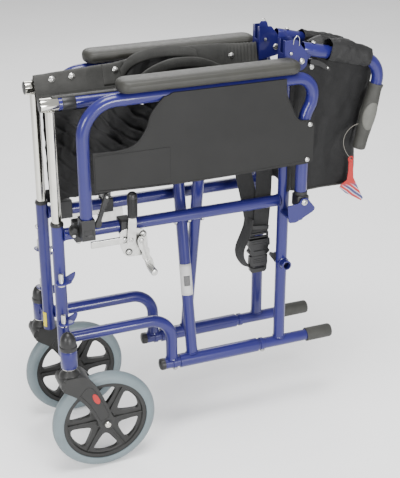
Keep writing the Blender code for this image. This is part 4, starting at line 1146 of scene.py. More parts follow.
def seat_post(s, w):
    """Chrome post and the cross stub that carries the seat rail's front end."""
    x = s * SX
    body = f"{w}_post"
    put(f"post_{w}", rod("Z", (x, F, 0), POST_R, 0.4400, SEAT_Z - 0.0060, 40), "chrome", body,
        f"seat_post_{w}")
    stub = lathe([(0.0040, R - 0.4572), (0.0114, R - 0.4572), (0.0120, R - 0.4566),
                  (0.0120, R - 0.4272), (0.0116, R - 0.4266), (0.0075, R - 0.4266),
                  (0.0075, R - 0.3820), (0.0040, R - 0.3820)], "Y", (x, 0, SEAT_Z), 40)
    put(f"post_stub_{w}", stub, "chrome", body)
    cap = lathe([(0, -0.4588), (0.0090, -0.4588), (0.0110, -0.4582), (0.0116, -0.4573),
                 (0, -0.4573)], "Y", (x, R, SEAT_Z), 40)
    put(f"post_cap_{w}", cap, "cast", body)
    beads = bead((x, F, SEAT_Z - 0.0105), "Z", POST_R + 0.0004, 0.0012)
    put(f"post_weld_{w}", beads, "chrome", body)


# ---- folding back ----------------------------------------------------------
def cane_point(run, lift):
    """Point (y, z) at a run along the folded cane from its pivot and a lift off its axis."""
    along = Vector((math.cos(CANE_TILT), math.sin(CANE_TILT)))
    above = Vector((-math.sin(CANE_TILT), math.cos(CANE_TILT)))
    spot = Vector((HINGE_Y, HINGE_Z)) + along * run + above * (CANE_OFFSET + lift)
    return (spot.x, spot.y)


def back_bracket(s, w):
    """Open channel round the top of the lower cane, with the pivot bolt."""
    x = s * SX
    body = f"{w}_frame"
    rim = [(R - 0.0140, 0.7150), (R + 0.0230, 0.7215), (R + 0.0300, 0.7280), (R + 0.0318, 0.7380),
           (R + 0.0314, 0.7500), (R + 0.0110, 0.7765), (R + 0.0080, 0.7775), (R - 0.0140, 0.7775)]
    yoke = put(f"yoke_{w}", plate(rim, "X", x - 0.0150, x + 0.0150), "blue", body,
               f"back_bracket_{w}")
    inside = [(R - 0.0124, 0.7000), (R + 0.0600, 0.7000), (R + 0.0600, 0.8000), (R - 0.0124, 0.8000)]
    cut(yoke, plate(inside, "X", x - 0.0134, x + 0.0134))
    cut(yoke, box((x - 0.0062, R - 0.0200, 0.7530), (x + 0.0062, R - 0.0100, 0.7900)))
    soften(yoke, 0.0005, 2)
    tab = [(R - 0.0140, 0.7760), (R + 0.0040, 0.7760), (R + 0.0020, 0.7840), (R - 0.0005, 0.7880),
           (R - 0.0105, 0.7885), (R - 0.0135, 0.7860)]
    put(f"yoke_tab_{w}", slab(s, tab, SX - 0.0150, SX - 0.0134), "blue", body, bevel=0.0005)
    put(f"yoke_pin_{w}", rod("X", (x, HINGE_Y, HINGE_Z), 0.0031, -0.0150, 0.0150, 20), "zinc", body)
    for tip in (1, -1):
        side = "out" if tip * s > 0 else "in"
        screw(f"yoke_bolt_{w}_{side}", (x + tip * 0.0150, HINGE_Y, HINGE_Z), (tip, 0, 0), body,
              0.0058, 0.0034)
        nut(f"yoke_nut_{w}_{side}", (x + tip * 0.0150, R - 0.0020, 0.7540), (tip, 0, 0), body,
            0.0032, 0.0022)
    loop = [(x + s * 0.0150, R + 0.0020, 0.7700), (x + s * 0.0160, R + 0.0030, 0.7800),
            (x + s * 0.0163, R + 0.0085, 0.7850), (x + s * 0.0160, R + 0.0130, 0.7800),
            (x + s * 0.0150, R + 0.0140, 0.7665)]
    put(f"yoke_wire_{w}", sweep(spline(loop, 6), 0.0007, 10), "zinc", body)


def upper_back(s, w):
    """Upper cane with its knuckle, collar and handle grip."""
    x = s * SX
    body = f"{w}_upper_back"
    path = [cane_point(0.0195, 0)]
    for i in range(25):
        turn = math.radians(90 - 3.75 * i)
        run = CANE_CORNER - CANE_BEND + CANE_BEND * math.cos(turn)
        path.append(cane_point(run, -CANE_BEND + CANE_BEND * math.sin(turn)))
    path.append(cane_point(CANE_CORNER, -0.1620))
    put(f"cane_{w}", sweep(yz(x, path), TUBE_R), "blue", body, f"upper_cane_{w}")
    a, b = cane_point(0.0190, 0), cane_point(0.0575, 0)
    direction = Vector((0, b[0] - a[0], b[1] - a[1]))
    collar = lathe([(0.0112, 0), (0.0119, 0), (0.0121, 0.0008), (0.0121, 0.0370), (0.0112, 0.0385)],
                   direction, (x, a[0], a[1]), 40)
    put(f"cane_collar_{w}", collar, "blue", body)
    knuckle(x, w, body)
    nut(f"cane_nut_{w}", (x + s * 0.0085, R + 0.0430, 0.7235), (s, 0, 0), body, 0.0050, 0.0034)
    push_grip(s, x, w, body)
    back_latch(s, w)


def knuckle(x, w, body):
    """Pivot ears and the open end of the collar, with its clamping screw on top."""
    rim = [(HINGE_Y - 0.0070, HINGE_Z - 0.0030), (HINGE_Y - 0.0030, HINGE_Z - 0.0070),
           (HINGE_Y + 0.0050, HINGE_Z - 0.0066), cane_point(0.0200, -0.0118),
           cane_point(0.0185, -0.0060), cane_point(0.0050, -0.0060),
           (HINGE_Y - 0.0064, HINGE_Z + 0.0060)]
    ear = bmesh.new()
    for a, b in ((-0.0085, -0.0060), (0.0060, 0.0085)):
        plate(rim, "X", x + a, x + b, ear)
    put(f"cane_ear_{w}", ear, "blue", body, bevel=0.0006)
    a, b = cane_point(0.0020, 0), cane_point(0.0575, 0)
    direction = Vector((0, b[0] - a[0], b[1] - a[1]))
    mouth = [(0.0108, 0.0168), (0.0108, 0.0006), (0.0114, 0.0), (0.0118, 0.0), (0.0121, 0.0006),
             (0.0121, 0.0172), (0.0116, 0.0172)]
    put(f"cane_cup_{w}", lathe(mouth, direction, (x, a[0], a[1]), 40), "blue", body)
    # black disc inside the collar's open end: painted shade, a dark sheet standing for the dark
    # inside the hollow tube
    plug = [(0, 0.0120), (0.0109, 0.0120), (0.0109, 0.0140), (0, 0.0140)]
    put(f"cane_shade_disc_{w}", lathe(plug, direction, (x, a[0], a[1]), 40), "black", body)
    spot = cane_point(0.0230, 0.0128)
    up = Vector((0, -math.sin(CANE_TILT), math.cos(CANE_TILT)))
    screw(f"cane_screw_{w}", (x, spot[0], spot[1]), up, body, 0.0046, 0.0034)


def grip_radius(distance):
    """Radius of the waisted, bellied hand grip at a distance down from its rim."""
    table = [(0.0000, 0.0142), (0.0012, 0.0146), (0.0034, 0.0143), (0.0060, 0.0133),
             (0.0120, 0.0130), (0.0240, 0.0137), (0.0400, 0.0152), (0.0540, 0.0160),
             (0.0680, 0.0158), (0.0840, 0.0146), (0.0980, 0.0132), (0.1100, 0.0126),
             (0.1220, 0.0128), (0.1262, 0.0122), (0.1284, 0.0100), (0.1290, 0.0060)]
    for (a, low), (b, high) in zip(table, table[1:]):
        if distance <= b:
            return low + (high - low) * max(0.0, distance - a) / (b - a)
    return table[-1][1]


def push_grip(s, x, w, body):
    """Hand grip: waisted, with a flared rim and a softer oval inlay."""
    run = (Vector((0, *cane_point(1, 0))) - Vector((0, *cane_point(0, 0)))).normalized()
    wide = Vector((1, 0, 0))
    solid = bmesh.new()
    rings = []
    stations = [0.0, 0.0012, 0.0034, 0.0060] + [0.0060 + 0.0058 * k for k in range(1, 21)]
    stations += [0.1245, 0.1262, 0.1276, 0.1284, 0.1290]
    for distance in stations:
        base = Vector((x, *cane_point(CANE_CORNER, -GRIP_START - distance)))
        radius = grip_radius(distance)
        ring = []
        for j in range(40):
            turn = 2 * math.pi * j / 40
            ring.append(solid.verts.new(base + run * math.cos(turn) * radius
                                        + wide * math.sin(turn) * min(radius, GRIP_SIDE_R)))
        rings.append(ring)
    loft(solid, rings)
    made = put(f"grip_{w}", solid, "greyrubber", None, angle=50)
    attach(made, body)
    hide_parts(f"push_grip_{w}")
    for tip in (1, -1):
        inlay(x, tip, f"{w}_{'out' if tip * s > 0 else 'in'}", body, run, wide)


def inlay(x, tip, word, body, run, wide):
    """Oval patch of lighter rubber hugging one face of the grip."""
    solid = bmesh.new()
    rings = []
    for i in range(1, 11):
        scale = i / 10
        ring = []
        for k in range(40):
            turn = 2 * math.pi * k / 40
            distance = 0.0610 + 0.0270 * scale * math.cos(turn)
            swing = math.radians(66) * scale * math.sin(turn)
            radius = grip_radius(distance)
            proud = 0.0007 - 0.0009 * scale ** 6
            middle = Vector((x, *cane_point(CANE_CORNER, -GRIP_START - distance)))
            ring.append(solid.verts.new(
                middle + wide * tip * math.cos(swing) * (min(radius, GRIP_SIDE_R) + proud)
                + run * math.sin(swing) * (radius + proud)))
        rings.append(ring)
    bridge(solid, rings)
    solid.faces.new(rings[0])
    put(f"grip_inlay_{word}", solid, "griplight", body, thick=0.0006, angle=80)


def back_latch(s, w):
    """Lever under the cane that holds the folded back."""
    x = s * SX
    body = f"{w}_back_latch"
    rim = [cane_point(0.0240, -0.0165), cane_point(0.0420, -0.0160), cane_point(0.0600, -0.0225),
           cane_point(0.0680, -0.0270), cane_point(0.0670, -0.0325), cane_point(0.0560, -0.0300),
           cane_point(0.0400, -0.0260), cane_point(0.0260, -0.0275)]
    put(f"latch_{w}", plate([tuple(p) for p in spline(rim, 3, closed=True)], "X", x - 0.0050,
                            x + 0.0050), "black", body, f"back_latch_{w}", bevel=0.0010)
    at = cane_point(0.0620, -0.0272)
    screw(f"latch_dot_{w}", (x + s * 0.0050, at[0], at[1]), (s, 0, 0), body, 0.0022, 0.0012, "zinc",
          drive=False)


# ---- belt and tag ----------------------------------------------------------
def strap(name, path, width, thick, body, across=(0, 1, 0), stands_for=(), finish="webbing"):
    """Flat webbing along a path, its width kept near the given direction."""
    solid = bmesh.new()
    rings = []
    for centre, side, up in turned(path):
        tangent = side.cross(up)
        wide = Vector(across)
        wide = (wide - tangent * wide.dot(tangent)).normalized()
        flat = tangent.cross(wide)
        ring = []
        for a, b in ((-1, -0.4), (-0.94, -1), (-0.5, -0.9), (0, -1), (0.5, -0.9), (0.94, -1),
                     (1, -0.4), (1, 0.4), (0.94, 1), (0.5, 0.9), (0, 1), (-0.5, 0.9), (-0.94, 1),
                     (-1, 0.4)):
            ring.append(solid.verts.new(centre + wide * a * width / 2 + flat * b * thick / 2))
        rings.append(ring)
    loft(solid, rings)
    return put(name, solid, finish, body, stands_for, angle=60)


def lap_belt():
    """Two hanging straps, a side loop and the closed side-release buckle."""
    body = "lap_belt"
    x = 0.025
    main = [(x - 0.002, R - 0.0900, 0.6960), (x - 0.001, R - 0.0860, 0.6200),
            (x - 0.001, R - 0.0740, 0.5400), (x, R - 0.0590, 0.4700), (x, R - 0.0430, 0.3900)]
    strap("belt_front", spline(main, 8), 0.0330, 0.0018, body, stands_for="lap_belt")
    other = [(x + 0.004, R - 0.0330, 0.6960), (x + 0.005, R - 0.0300, 0.6100),
             (x + 0.005, R - 0.0300, 0.5100), (x + 0.004, R - 0.0310, 0.4500),
             (x + 0.002, R - 0.0340, 0.3950)]
    strap("belt_rear", spline(other, 8), 0.0330, 0.0018, body)
    loop = [(x - 0.001, R - 0.0480, 0.3170), (x - 0.004, R - 0.0600, 0.3240),
            (x - 0.006, R - 0.0710, 0.3420), (x - 0.004, R - 0.0735, 0.3620),
            (x + 0.001, R - 0.0680, 0.3860), (x + 0.003, R - 0.0610, 0.4080),
            (x + 0.003, R - 0.0580, 0.4280)]
    strap("belt_loop", spline(loop, 8), 0.0240, 0.0017, body, across=(0.80, 0.35, 0))
    keeper = [(x + 0.0062, R - 0.0520, 0.4080), (x + 0.0062, R - 0.0180, 0.4040)]
    strap("belt_keeper", keeper, 0.0080, 0.0026, body, across=(0, 0.2, 1), finish="black")
    buckle(x, body)


def buckle(x, body):
    """Side-release buckle: socket, plug, ribs and the slider above it."""
    y = R - 0.0365
    shell = [(y - 0.0215, 0.3800), (y - 0.0225, 0.3690), (y - 0.0215, 0.3520), (y - 0.0150, 0.3460),
             (y + 0.0150, 0.3460), (y + 0.0215, 0.3520), (y + 0.0225, 0.3690), (y + 0.0215, 0.3800)]
    upper = put("buckle_socket", plate(shell, "X", x - 0.0068, x + 0.0068), "black", body,
                "belt_buckle", bevel=0.0016, segments=3)
    for side in (-1, 1):
        cut(upper, rod("X", (0, y + side * 0.0245, 0.3610), 0.0058, x - 0.02, x + 0.02))
    cut(upper, box((x + 0.0050, y - 0.0120, 0.3560), (x + 0.02, y + 0.0120, 0.3660)))
    plug = [(y - 0.0185, 0.3450), (y - 0.0190, 0.3300), (y - 0.0170, 0.3130), (y - 0.0140, 0.3090),
            (y + 0.0140, 0.3090), (y + 0.0170, 0.3130), (y + 0.0190, 0.3300), (y + 0.0185, 0.3450)]
    lower = put("buckle_plug", plate(plug, "X", x - 0.0056, x + 0.0056), "black", body,
                bevel=0.0014, segments=3)
    cut(lower, box((x - 0.02, y - 0.0130, 0.3180), (x + 0.02, y + 0.0130, 0.3225)))
    ribs = bmesh.new()
    for k in range(3):
        z = 0.3300 + k * 0.0040
        sweep([(x + 0.0056, y - 0.0110, z), (x + 0.0056, y + 0.0110, z)], 0.0009, 8, ribs)
    for k in range(2):
        z = 0.3710 + k * 0.0050
        sweep([(x + 0.0068, y - 0.0150, z), (x + 0.0068, y + 0.0150, z)], 0.0010, 8, ribs)
    put("buckle_ribs", ribs, "black", body)
    bars = bmesh.new()
    for z in (0.3825, 0.3905):
        sweep([(x, y - 0.0190, z), (x, y + 0.0190, z)], 0.0027, 10, bars)
    for side in (-1, 1):
        sweep([(x, y + side * 0.0190, 0.3790), (x, y + side * 0.0190, 0.3920)], 0.0026, 10, bars)
    put("buckle_slider", bars, "black", body)


# the string from the grip to the card, as the part has it: y is measured from the rear upright
STRING_ROUTE = [
    (0.0540, 0.1545, 0.6000), (0.0536, 0.1516, 0.5985), (0.0528, 0.1480, 0.5969),
    (0.0518, 0.1440, 0.5950), (0.0508, 0.1398, 0.5920), (0.0499, 0.1360, 0.5883),
    (0.0491, 0.1326, 0.5838), (0.0486, 0.1298, 0.5788), (0.0483, 0.1278, 0.5734),
    (0.0482, 0.1267, 0.5678), (0.0483, 0.1266, 0.5620), (0.0487, 0.1274, 0.5562),
    (0.0493, 0.1289, 0.5507), (0.0501, 0.1310, 0.5455), (0.0510, 0.1335, 0.5407),
    (0.0520, 0.1362, 0.5366), (0.0530, 0.1388, 0.5335), (0.0538, 0.1407, 0.5313),
    (0.0540, 0.1415, 0.5295),
]


def hang_tag():
    """Blank printed card on a cotton string tied to the left grip."""
    top = Vector((SX, R + 0.1415, 0.5290))
    rim = [(-0.0045, 0.0000), (0.0000, 0.0012), (0.0048, -0.0030), (0.0056, -0.0200),
           (0.0075, -0.0380), (0.0160, -0.0540), (0.0330, -0.0860), (0.0285, -0.0900),
           (-0.0060, -0.0700), (-0.0215, -0.0560), (-0.0190, -0.0500), (-0.0065, -0.0420),
           (-0.0048, -0.0200)]
    solid = plate([(top.y + a, top.z + b) for a, b in rim], "X", -0.0002, 0.0002)
    bmesh.ops.subdivide_edges(solid, edges=solid.edges[:], cuts=3, use_grid_fill=True)
    for vert in solid.verts:
        drop = top.z - vert.co.z
        vert.co.x += SX + 0.0016 * math.sin(drop * 60) + 0.30 * drop * (vert.co.y - top.y)
    body = "hang_tag"
    put("tag_card", solid, "card", body, "hang_tag", smooth=False)
    eye = [(SX, top.y + 0.0048 * math.cos(t), top.z + 0.0002 + 0.0048 * math.sin(t))
           for t in (2 * math.pi * k / 24 for k in range(25))]
    put("tag_eye", sweep(eye, 0.0014, 10), "card", body)
    curve = bpy.data.curves.new("tag_line", "CURVE")
    curve.dimensions = "3D"
    curve.bevel_depth = 0.0006
    curve.bevel_resolution = 3
    curve.use_fill_caps = True
    line = curve.splines.new("POLY")
    points = spline([(a, R + b, c) for a, b, c in STRING_ROUTE], 3)
    line.points.add(len(points) - 1)
    for i, (point, spot) in enumerate(zip(line.points, points)):
        point.co = (*spot, 1.0)
    string = bpy.data.objects.new("tag_line", curve)
    bpy.context.scene.collection.objects.link(string)
    curve.materials.append(MATS["cord"])
    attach(string, body)
    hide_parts("tag_string")


def stickers():
    """Plain yellow film on the foot of the right front upright."""
    solid = bmesh.new()
    rings = []
    for i in range(6):
        z = 0.2330 + 0.0310 * i / 5
        rings.append([solid.verts.new((-SX + (TUBE_R + 0.0005) * math.cos(t),
                                       F + (TUBE_R + 0.0005) * math.sin(t), z))
                      for t in (math.radians(-82 + 46 * k / 8) for k in range(9))])
    bridge(solid, rings, round_it=False)
    put("yellow_film", solid, "yellow", "right_frame", thick=0.0003)


# ---- seat cloth ------------------------------------------------------------
SEAT_FRONT = R - 0.434
SEAT_LENGTH = 0.388
HEM_LENGTH = 0.4180
HEM_AHEAD = {1: 0.0020, -1: 0.0085}     # how far each hem starts in front of the seat
HEM_EXTRA = {1: 0.0, -1: 0.0065}        # and its length beyond HEM_LENGTH
BASE_FRONT = 0.012                      # how far the middle sheet starts behind the seat's front
BASE_LENGTH = SEAT_LENGTH - 0.022
BASE_HALF = SX - 0.0270                 # half the width of the folded middle sheet
STRAP_RUN = 0.2951                      # from the rear upright forward to the lifting strap

# section of each hem, wrapped over its rail: inward from the rail's axis, and up
HEM_SECTION = {
    1: spline([(-0.0035, 0.0116), (-0.0005, 0.0128), (0.0035, 0.0128), (0.0080, 0.0108),
               (0.0115, 0.0066), (0.0145, 0.0010), (0.0182, -0.0066), (0.0230, -0.0146),
               (0.0287, -0.0222)], 4),
    -1: spline([(-0.0085, 0.0104), (-0.0030, 0.0140), (0.0035, 0.0172), (0.0080, 0.0262),
                (0.0112, 0.0245), (0.0148, 0.0130), (0.0196, 0.0006), (0.0244, -0.0112),
                (0.0287, -0.0222)], 4),
}


def crease(x):
    """Rounded zigzag between -1 and 1."""
    return math.asin(math.sin(x) * 0.94) / 1.2226


def brace_limit(z, y):
    """How far out the cloth may reach at a height, pinched between the braces."""
    centre = -SX + 2 * SX * (z - BOTTOM_Z) / (SEAT_Z - BOTTOM_Z)
    near = max(0.0, 1 - max(0.0, abs(y - (R - 0.172)) - 0.026) / 0.030)
    free = 0.0385
    return free + (max(0.0022, centre - 0.0128) - free) * near


def seat_fall(s, u, v):
    """Point of the hanging half of the seat, u down from the hem and v from the front."""
    y = SEAT_FRONT + SEAT_LENGTH * v
    z = 0.686 - 0.170 * u
    warp = fbm(v * 6.0 + s * 3.7, u * 2.2, s * 1.3, 3)
    base = 0.0300 * (1 - u) ** 0.85 + 0.0110 * u
    pleat = crease(2 * math.pi * (v * 8.5 + 0.9 * u * (0.5 - v) + 0.75 * warp))
    front = math.exp(-(v / 0.10) ** 2)
    swell = 0.0040 * math.sin(math.pi * min(1, u * 1.15 + 0.06)) * (1 + 1.1 * front)
    fine = 0.0026 * fbm(v * 26 + 5 * s, u * 9, 4.2, 3)
    x = base + pleat * swell + fine + pulled(u, v, s)
    x = max(0.0016, min(x, brace_limit(z, y) - 0.0012))
    y += 0.0060 * fbm(u * 5, v * 3, 8.8 * s, 2) * (1 if v > 0.5 else 1 - 0.6 * front)
    z += 0.0080 * fbm(v * 7, 2.2, 5 * s, 2) * u
    return Vector((s * x, y, z))


def pulled(u, v, s):
    """Long creases that run down and back from the front of the rail."""
    drift = fbm(v * 4 + s, u * 2.5, 6.1, 3)
    place = (0.2425 * v - 0.1326 * u) / 0.021 + 0.9 * drift
    line = math.exp(-(math.sin(math.pi * place) / 0.34) ** 2)
    choose = 0.62 + 0.75 * noise.noise(Vector((v * 7, u * 1.4, math.floor(place) * 1.7 + s)))
    fade = max(0.0, 1 - 0.50 * u) * min(1.0, 0.30 + u * 6)
    return (0.0056 * line - 0.0016) * max(0.0, choose) * fade


def seat_hem_point(s, u, v):
    """Band wrapped over the rail: u round the rail and down, v from the front."""
    path = HEM_SECTION[s]
    at = path[min(len(path) - 1, int(round(u * (len(path) - 1))))]
    y = SEAT_FRONT - HEM_AHEAD[s] + (HEM_LENGTH + HEM_EXTRA[s]) * v
    ripple = 0.0011 * fbm(v * 30 + s, u * 3, 1.0, 3) * min(1, u * 3)
    gather = 1 / (1 + math.exp(-(v - 0.86) / 0.030))
    ripple += 0.0009 * gather * crease(v * 400 + 2 * u + 4 * fbm(v * 12, u, s, 2)) * min(1, u * 2.5)
    rise = 0.0
    if s < 0:
        t = min(1.0, max(0.0, (v - 0.30) / 0.30))
        down = min(1.0, max(0.0, (v - 0.72) / 0.28))
        rise = -0.0040 + 0.0070 * min(1.0, v / 0.30) + 0.0170 * t * t * (3 - 2 * t)
        rise -= 0.0060 * down * down * (3 - 2 * down)
        rise *= math.sin(math.pi * min(1, u * 1.3)) ** 0.8
    return Vector((s * (SX - at.x + ripple), y, SEAT_Z + at.y + ripple * 0.8 + rise))


def press(made):
    """Give the piece a mesh of its own."""
    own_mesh(made)


def hand_over(made, body):
    """Ride on a brace, with a mesh of its own."""
    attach(made, body)
    press(made)


def press_hem(made, s):
    """Give a piece of the right half's hem a mesh of its own; the left half's is left as it is."""
    if s < 0:
        press(made)


SEAT_BODY = {1: "brace_b", -1: "brace_a"}


def seat_half(s, w):
    """One half of the seat: the gathered fall, the hem over its rail and what holds the hem."""
    body = SEAT_BODY[s]
    fall = put(f"seat_fall_{w}", grid(lambda a, b: seat_fall(s, b, a), 190, 84), "nylon", None,
               angle=180)
    hand_over(fall, body)
    hem = put(f"seat_hem_{w}", grid(lambda a, b: seat_hem_point(s, b, a), 230, 33), "hem", None,
              angle=180)
    solidify(hem, 0.0018)
    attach(hem, body)
    press_hem(hem, s)
    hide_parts(f"seat_sling_{w}")
    for i, run in enumerate((0.4104, 0.3743, STRAP_RUN, 0.0706)):
        v = (R - run - SEAT_FRONT + HEM_AHEAD[s]) / (HEM_LENGTH + HEM_EXTRA[s])
        u = (0.58 if i < 3 else 0.64) if s < 0 else 0.60
        spot, below = seat_hem_point(s, u, v), seat_hem_point(s, u + 0.08, v)
        out = (below - spot).cross(Vector((0, s, 0))).normalized()
        if out.x * s > 0:
            out = -out
        at = spot + out * 0.0010
        if i == 2:
            at += out * 0.0024
        cup = lathe([(0, 0), (0.0054, 0), (0.0056, 0.0004), (0.0048, 0.0010), (0, 0.0010)], out, at,
                    24)
        press_hem(put(f"seat_washer_{i}_{w}", cup, "zinc", body), s)
        press_hem(screw(f"seat_screw_{i}_{w}", at + out * 0.0010, out, body, 0.0041, 0.0028), s)
    fold_edge(s, w, body)
    patch(s, w, body)


def solidify(made, thick):
    """Give the sheet its thickness in the mesh itself, closed at its edges."""
    shell = made.modifiers.new("shell", "SOLIDIFY")
    shell.thickness = thick
    shell.offset = 0
    depsgraph = bpy.context.evaluated_depsgraph_get()
    result = bpy.data.meshes.new_from_object(made.evaluated_get(depsgraph))
    made.modifiers.remove(shell)
    old = made.data
    made.data = result
    bpy.data.meshes.remove(old)


def fold_edge(s, w, body):
    """Rolled edge and stitching along the hem's lower side."""
    points = []
    for i in range(70):
        v = i / 69
        p = seat_hem_point(s, 1.0, v)
        points.append(p + Vector((-s * 0.0010, 0, -0.0008 + 0.0007 * fbm(v * 40, s, 0, 2))))
    press_hem(put(f"seat_roll_{w}", sweep(points, 0.0021, 10), "hem", body, angle=180), s)
    stitches = bmesh.new()
    out = Vector((-s * 0.0011, 0, 0.0010))
    for i in range(74):
        v = 0.012 + 0.976 * i / 74
        a, b = seat_hem_point(s, 0.84, v), seat_hem_point(s, 0.84, v + 0.0075)
        sweep([a + out * 0.7, a.lerp(b, 0.5) + out * 1.25, b + out * 0.7], 0.00034, 6, stitches)
    press_hem(put(f"seat_stitch_{w}", stitches, "hem", body), s)


def patch(s, w, body):
    """Square reinforcement stitched over the hem where the lifting strap starts."""
    v0 = (R - STRAP_RUN - SEAT_FRONT + HEM_AHEAD[1]) / HEM_LENGTH

    def point(a, b):
        base = seat_hem_point(s, 0.42 + 0.40 * b, v0 - 0.045 + 0.09 * a)
        edge = min(a, 1 - a, b, 1 - b)
        rise = 0.0016 + 0.0012 * min(1, edge * 6)
        return base + Vector((-s * 0.75, 0, 0.62)) * rise

    made = put(f"seat_patch_{w}", grid(point, 20, 14), "hem", None, angle=180)
    solidify(made, 0.0008)
    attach(made, body)
    press_hem(made, s)


def base_point(a, b):
    """Middle sheet of the seat: flat when unfolded, a crumpled valley when folded."""
    wide = 0.2190
    drop = 0.1710
    half = math.atan2(wide, drop)
    turn = half * (2 * a - 1)
    reach = drop / math.cos(turn)
    rise = SEAT_Z - 0.0215 - BOLT_Z
    rest = math.atan2(BASE_HALF, rise)
    edge_reach = math.hypot(BASE_HALF, rise)
    reach *= 1 + (edge_reach / (drop / math.cos(half)) - 1) * abs(2 * a - 1) ** 3
    y = SEAT_FRONT + BASE_FRONT + BASE_LENGTH * b
    swell = math.sin(math.pi * a) ** 0.7
    lump = 0.0065 * fbm(b * 9, a * 1.6, 2.0, 4)
    lump += 0.0020 * crease(b * 55 + 6 * fbm(b * 5, a, 0, 2))
    reach += lump * swell
    angle = rest * (2 * a - 1)
    return Vector((math.sin(angle) * reach, y, BOLT_Z + math.cos(angle) * reach))


def seat_base():
    """Middle sheet of the seat."""
    made = put("seat_base", grid(base_point, 61, 150), "nylon", None, angle=180)
    solidify(made, 0.0012)
    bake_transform(made)


def seat_straps():
    """Folds of the seat that stand up in two arcs, each edged with a lifting strap."""
    arch("far", -1, [(-0.2870, 0.7280), (-0.2700, 0.7480), (-0.2410, 0.7590), (-0.2032, 0.7617),
                     (-0.1800, 0.7600), (-0.1600, 0.7560), (-0.1420, 0.7490)], -0.0380, -0.0300,
         0.0200)
    arch("near", 1, [(-0.2640, 0.7200), (-0.2460, 0.7325), (-0.2200, 0.7425), (-0.1938, 0.7470),
                     (-0.1556, 0.7448), (-0.1300, 0.7370), (-0.1120, 0.7280), (-0.0950, 0.7200)],
         -0.0060, -0.0050, 0.0190)


def arch(word, s, line, top_x, foot_x, wide):
    """One standing fold: its cloth down to the rail's height and the strap along its edge."""
    body = SEAT_BODY[s]
    path = spline([(R + y, z) for y, z in line], 8)

    def top(a):
        place = a * (len(path) - 1)
        i = min(len(path) - 2, int(place))
        return path[i].lerp(path[i + 1], place - i)

    def cloth(a, b):
        spot = top(a)
        z = spot.y + (0.6900 - spot.y) * b
        x = top_x + (foot_x - top_x) * b
        sway = 0.0016 * crease(a * 26 + 5 * b + 5 * fbm(a * 5, b, s, 3)) * min(1, b * 4 + 0.15)
        sway += 0.0020 * fbm(a * 9, b * 3, 3.3 * s, 3)
        return Vector((x + sway, spot.x, z - 0.0012))

    def edge(a, b):
        spot = top(a)
        drop = wide * b
        x = top_x + 0.0022 + 0.0030 * (1 - (2 * b - 1) ** 2) * 0.4
        x += 0.0003 * fbm(a * 30, b * 4, s, 2) + (foot_x - top_x) * drop / 0.06
        return Vector((x, spot.x + 0.002 * b, spot.y + 0.0006 - drop * (0.96 + 0.04 * b)))

    made = put(f"seat_arch_{word}", grid(cloth, 110, 30), "nylon", None, angle=180)
    hand_over(made, body)
    made = put(f"seat_strap_{word}", grid(edge, 110, 9), "hem", None, angle=180)
    solidify(made, 0.0016)
    hand_over(made, body)


# ---- back cloth ------------------------------------------------------------
ROLL_LENGTH = 0.0880    # of the upper back, along the cane
SHEET_HALF = 0.0425     # half the width of the folded lower middle sheet
UPPER_HALF = 0.0400     # and of the upper one
UPPER_LENGTH = 0.092

# plan of the folded lower back, from the left upright round to the right one
BACK_PLAN = spline([
    (0.0400, 0.0060), (0.0408, 0.0220), (0.0392, 0.0520), (0.0380, 0.0900), (0.0376, 0.1300),
    (0.0374, 0.1660), (0.0340, 0.1860), (0.0215, 0.1930), (0.0070, 0.1800), (0.0006, 0.1540),
    (-0.0050, 0.1730), (-0.0160, 0.1820), (-0.0290, 0.1760), (-0.0360, 0.1560),
    (-0.0376, 0.1250), (-0.0380, 0.0900), (-0.0392, 0.0520), (-0.0408, 0.0220),
    (-0.0400, 0.0060)], 8)


def back_outline(t):
    """Point of the folded back's plan, t from 0 to 1 along it."""
    place = t * (len(BACK_PLAN) - 1)
    i = min(len(BACK_PLAN) - 2, int(place))
    return BACK_PLAN[i].lerp(BACK_PLAN[i + 1], place - i)


def back_fall(s, a, b):
    """Point of one half of the lower back; a from the upright to the middle, b downwards."""
    t = a * 0.5 if s > 0 else 1 - a * 0.5
    plan = back_outline(t)
    tuck = min(1.0, max(0.0, (plan.y - 0.034) / 0.022))
    under_roll = 0.7575 - 0.231 * (plan.y - 0.0245) - 0.0105
    high = 0.7110 + tuck * tuck * (3 - 2 * tuck) * (under_roll - 0.7110)
    low = 0.4830 - 0.010 * min(1.0, plan.y / 0.05)
    z = high + (low - high) * b
    fall = min(1.0, b / 0.72)
    depth = plan.y * (1 - 0.150 * fall * fall * (3 - 2 * fall) * min(1.0, plan.y / 0.10))
    warp = fbm(b * 2.0 + 3 * s, a * 3.5, 7.7, 3)
    fold = 0.0024 * crease(2 * math.pi * (a * 2.6 + 0.35 * b + 0.9 * warp))
    fold += 0.0032 * fbm(a * 4, b * 3, s * 2.2, 4)
    slope = plan.y * 5.2 - (1 - b) * 1.6 + 0.5 * warp
    fold += 0.0026 * math.exp(-(math.sin(math.pi * slope) / 0.42) ** 2) * max(0.0, 0.85 - b)
    envelope = min(1.0, a * 6) * (0.35 + 0.65 * min(1.0, (1 - abs(2 * b - 1)) * 4))
    outward = 1 if abs(plan.x) > 0.004 else 0.3
    x = plan.x + math.copysign(fold * envelope * outward, s) - s * 0.0015
    if abs(plan.y) < 0.02:
        x = plan.x
    limit = 0.0392 if plan.y > 0.030 else 0.0425
    x = max(-limit, min(limit, x))
    return Vector((x, R + depth + fold * envelope * 0.6, z + 0.0020 * warp * b))


def press_back(made, body):
    """Ride on a side frame, with a mesh of its own."""
    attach(made, body)
    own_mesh(made)


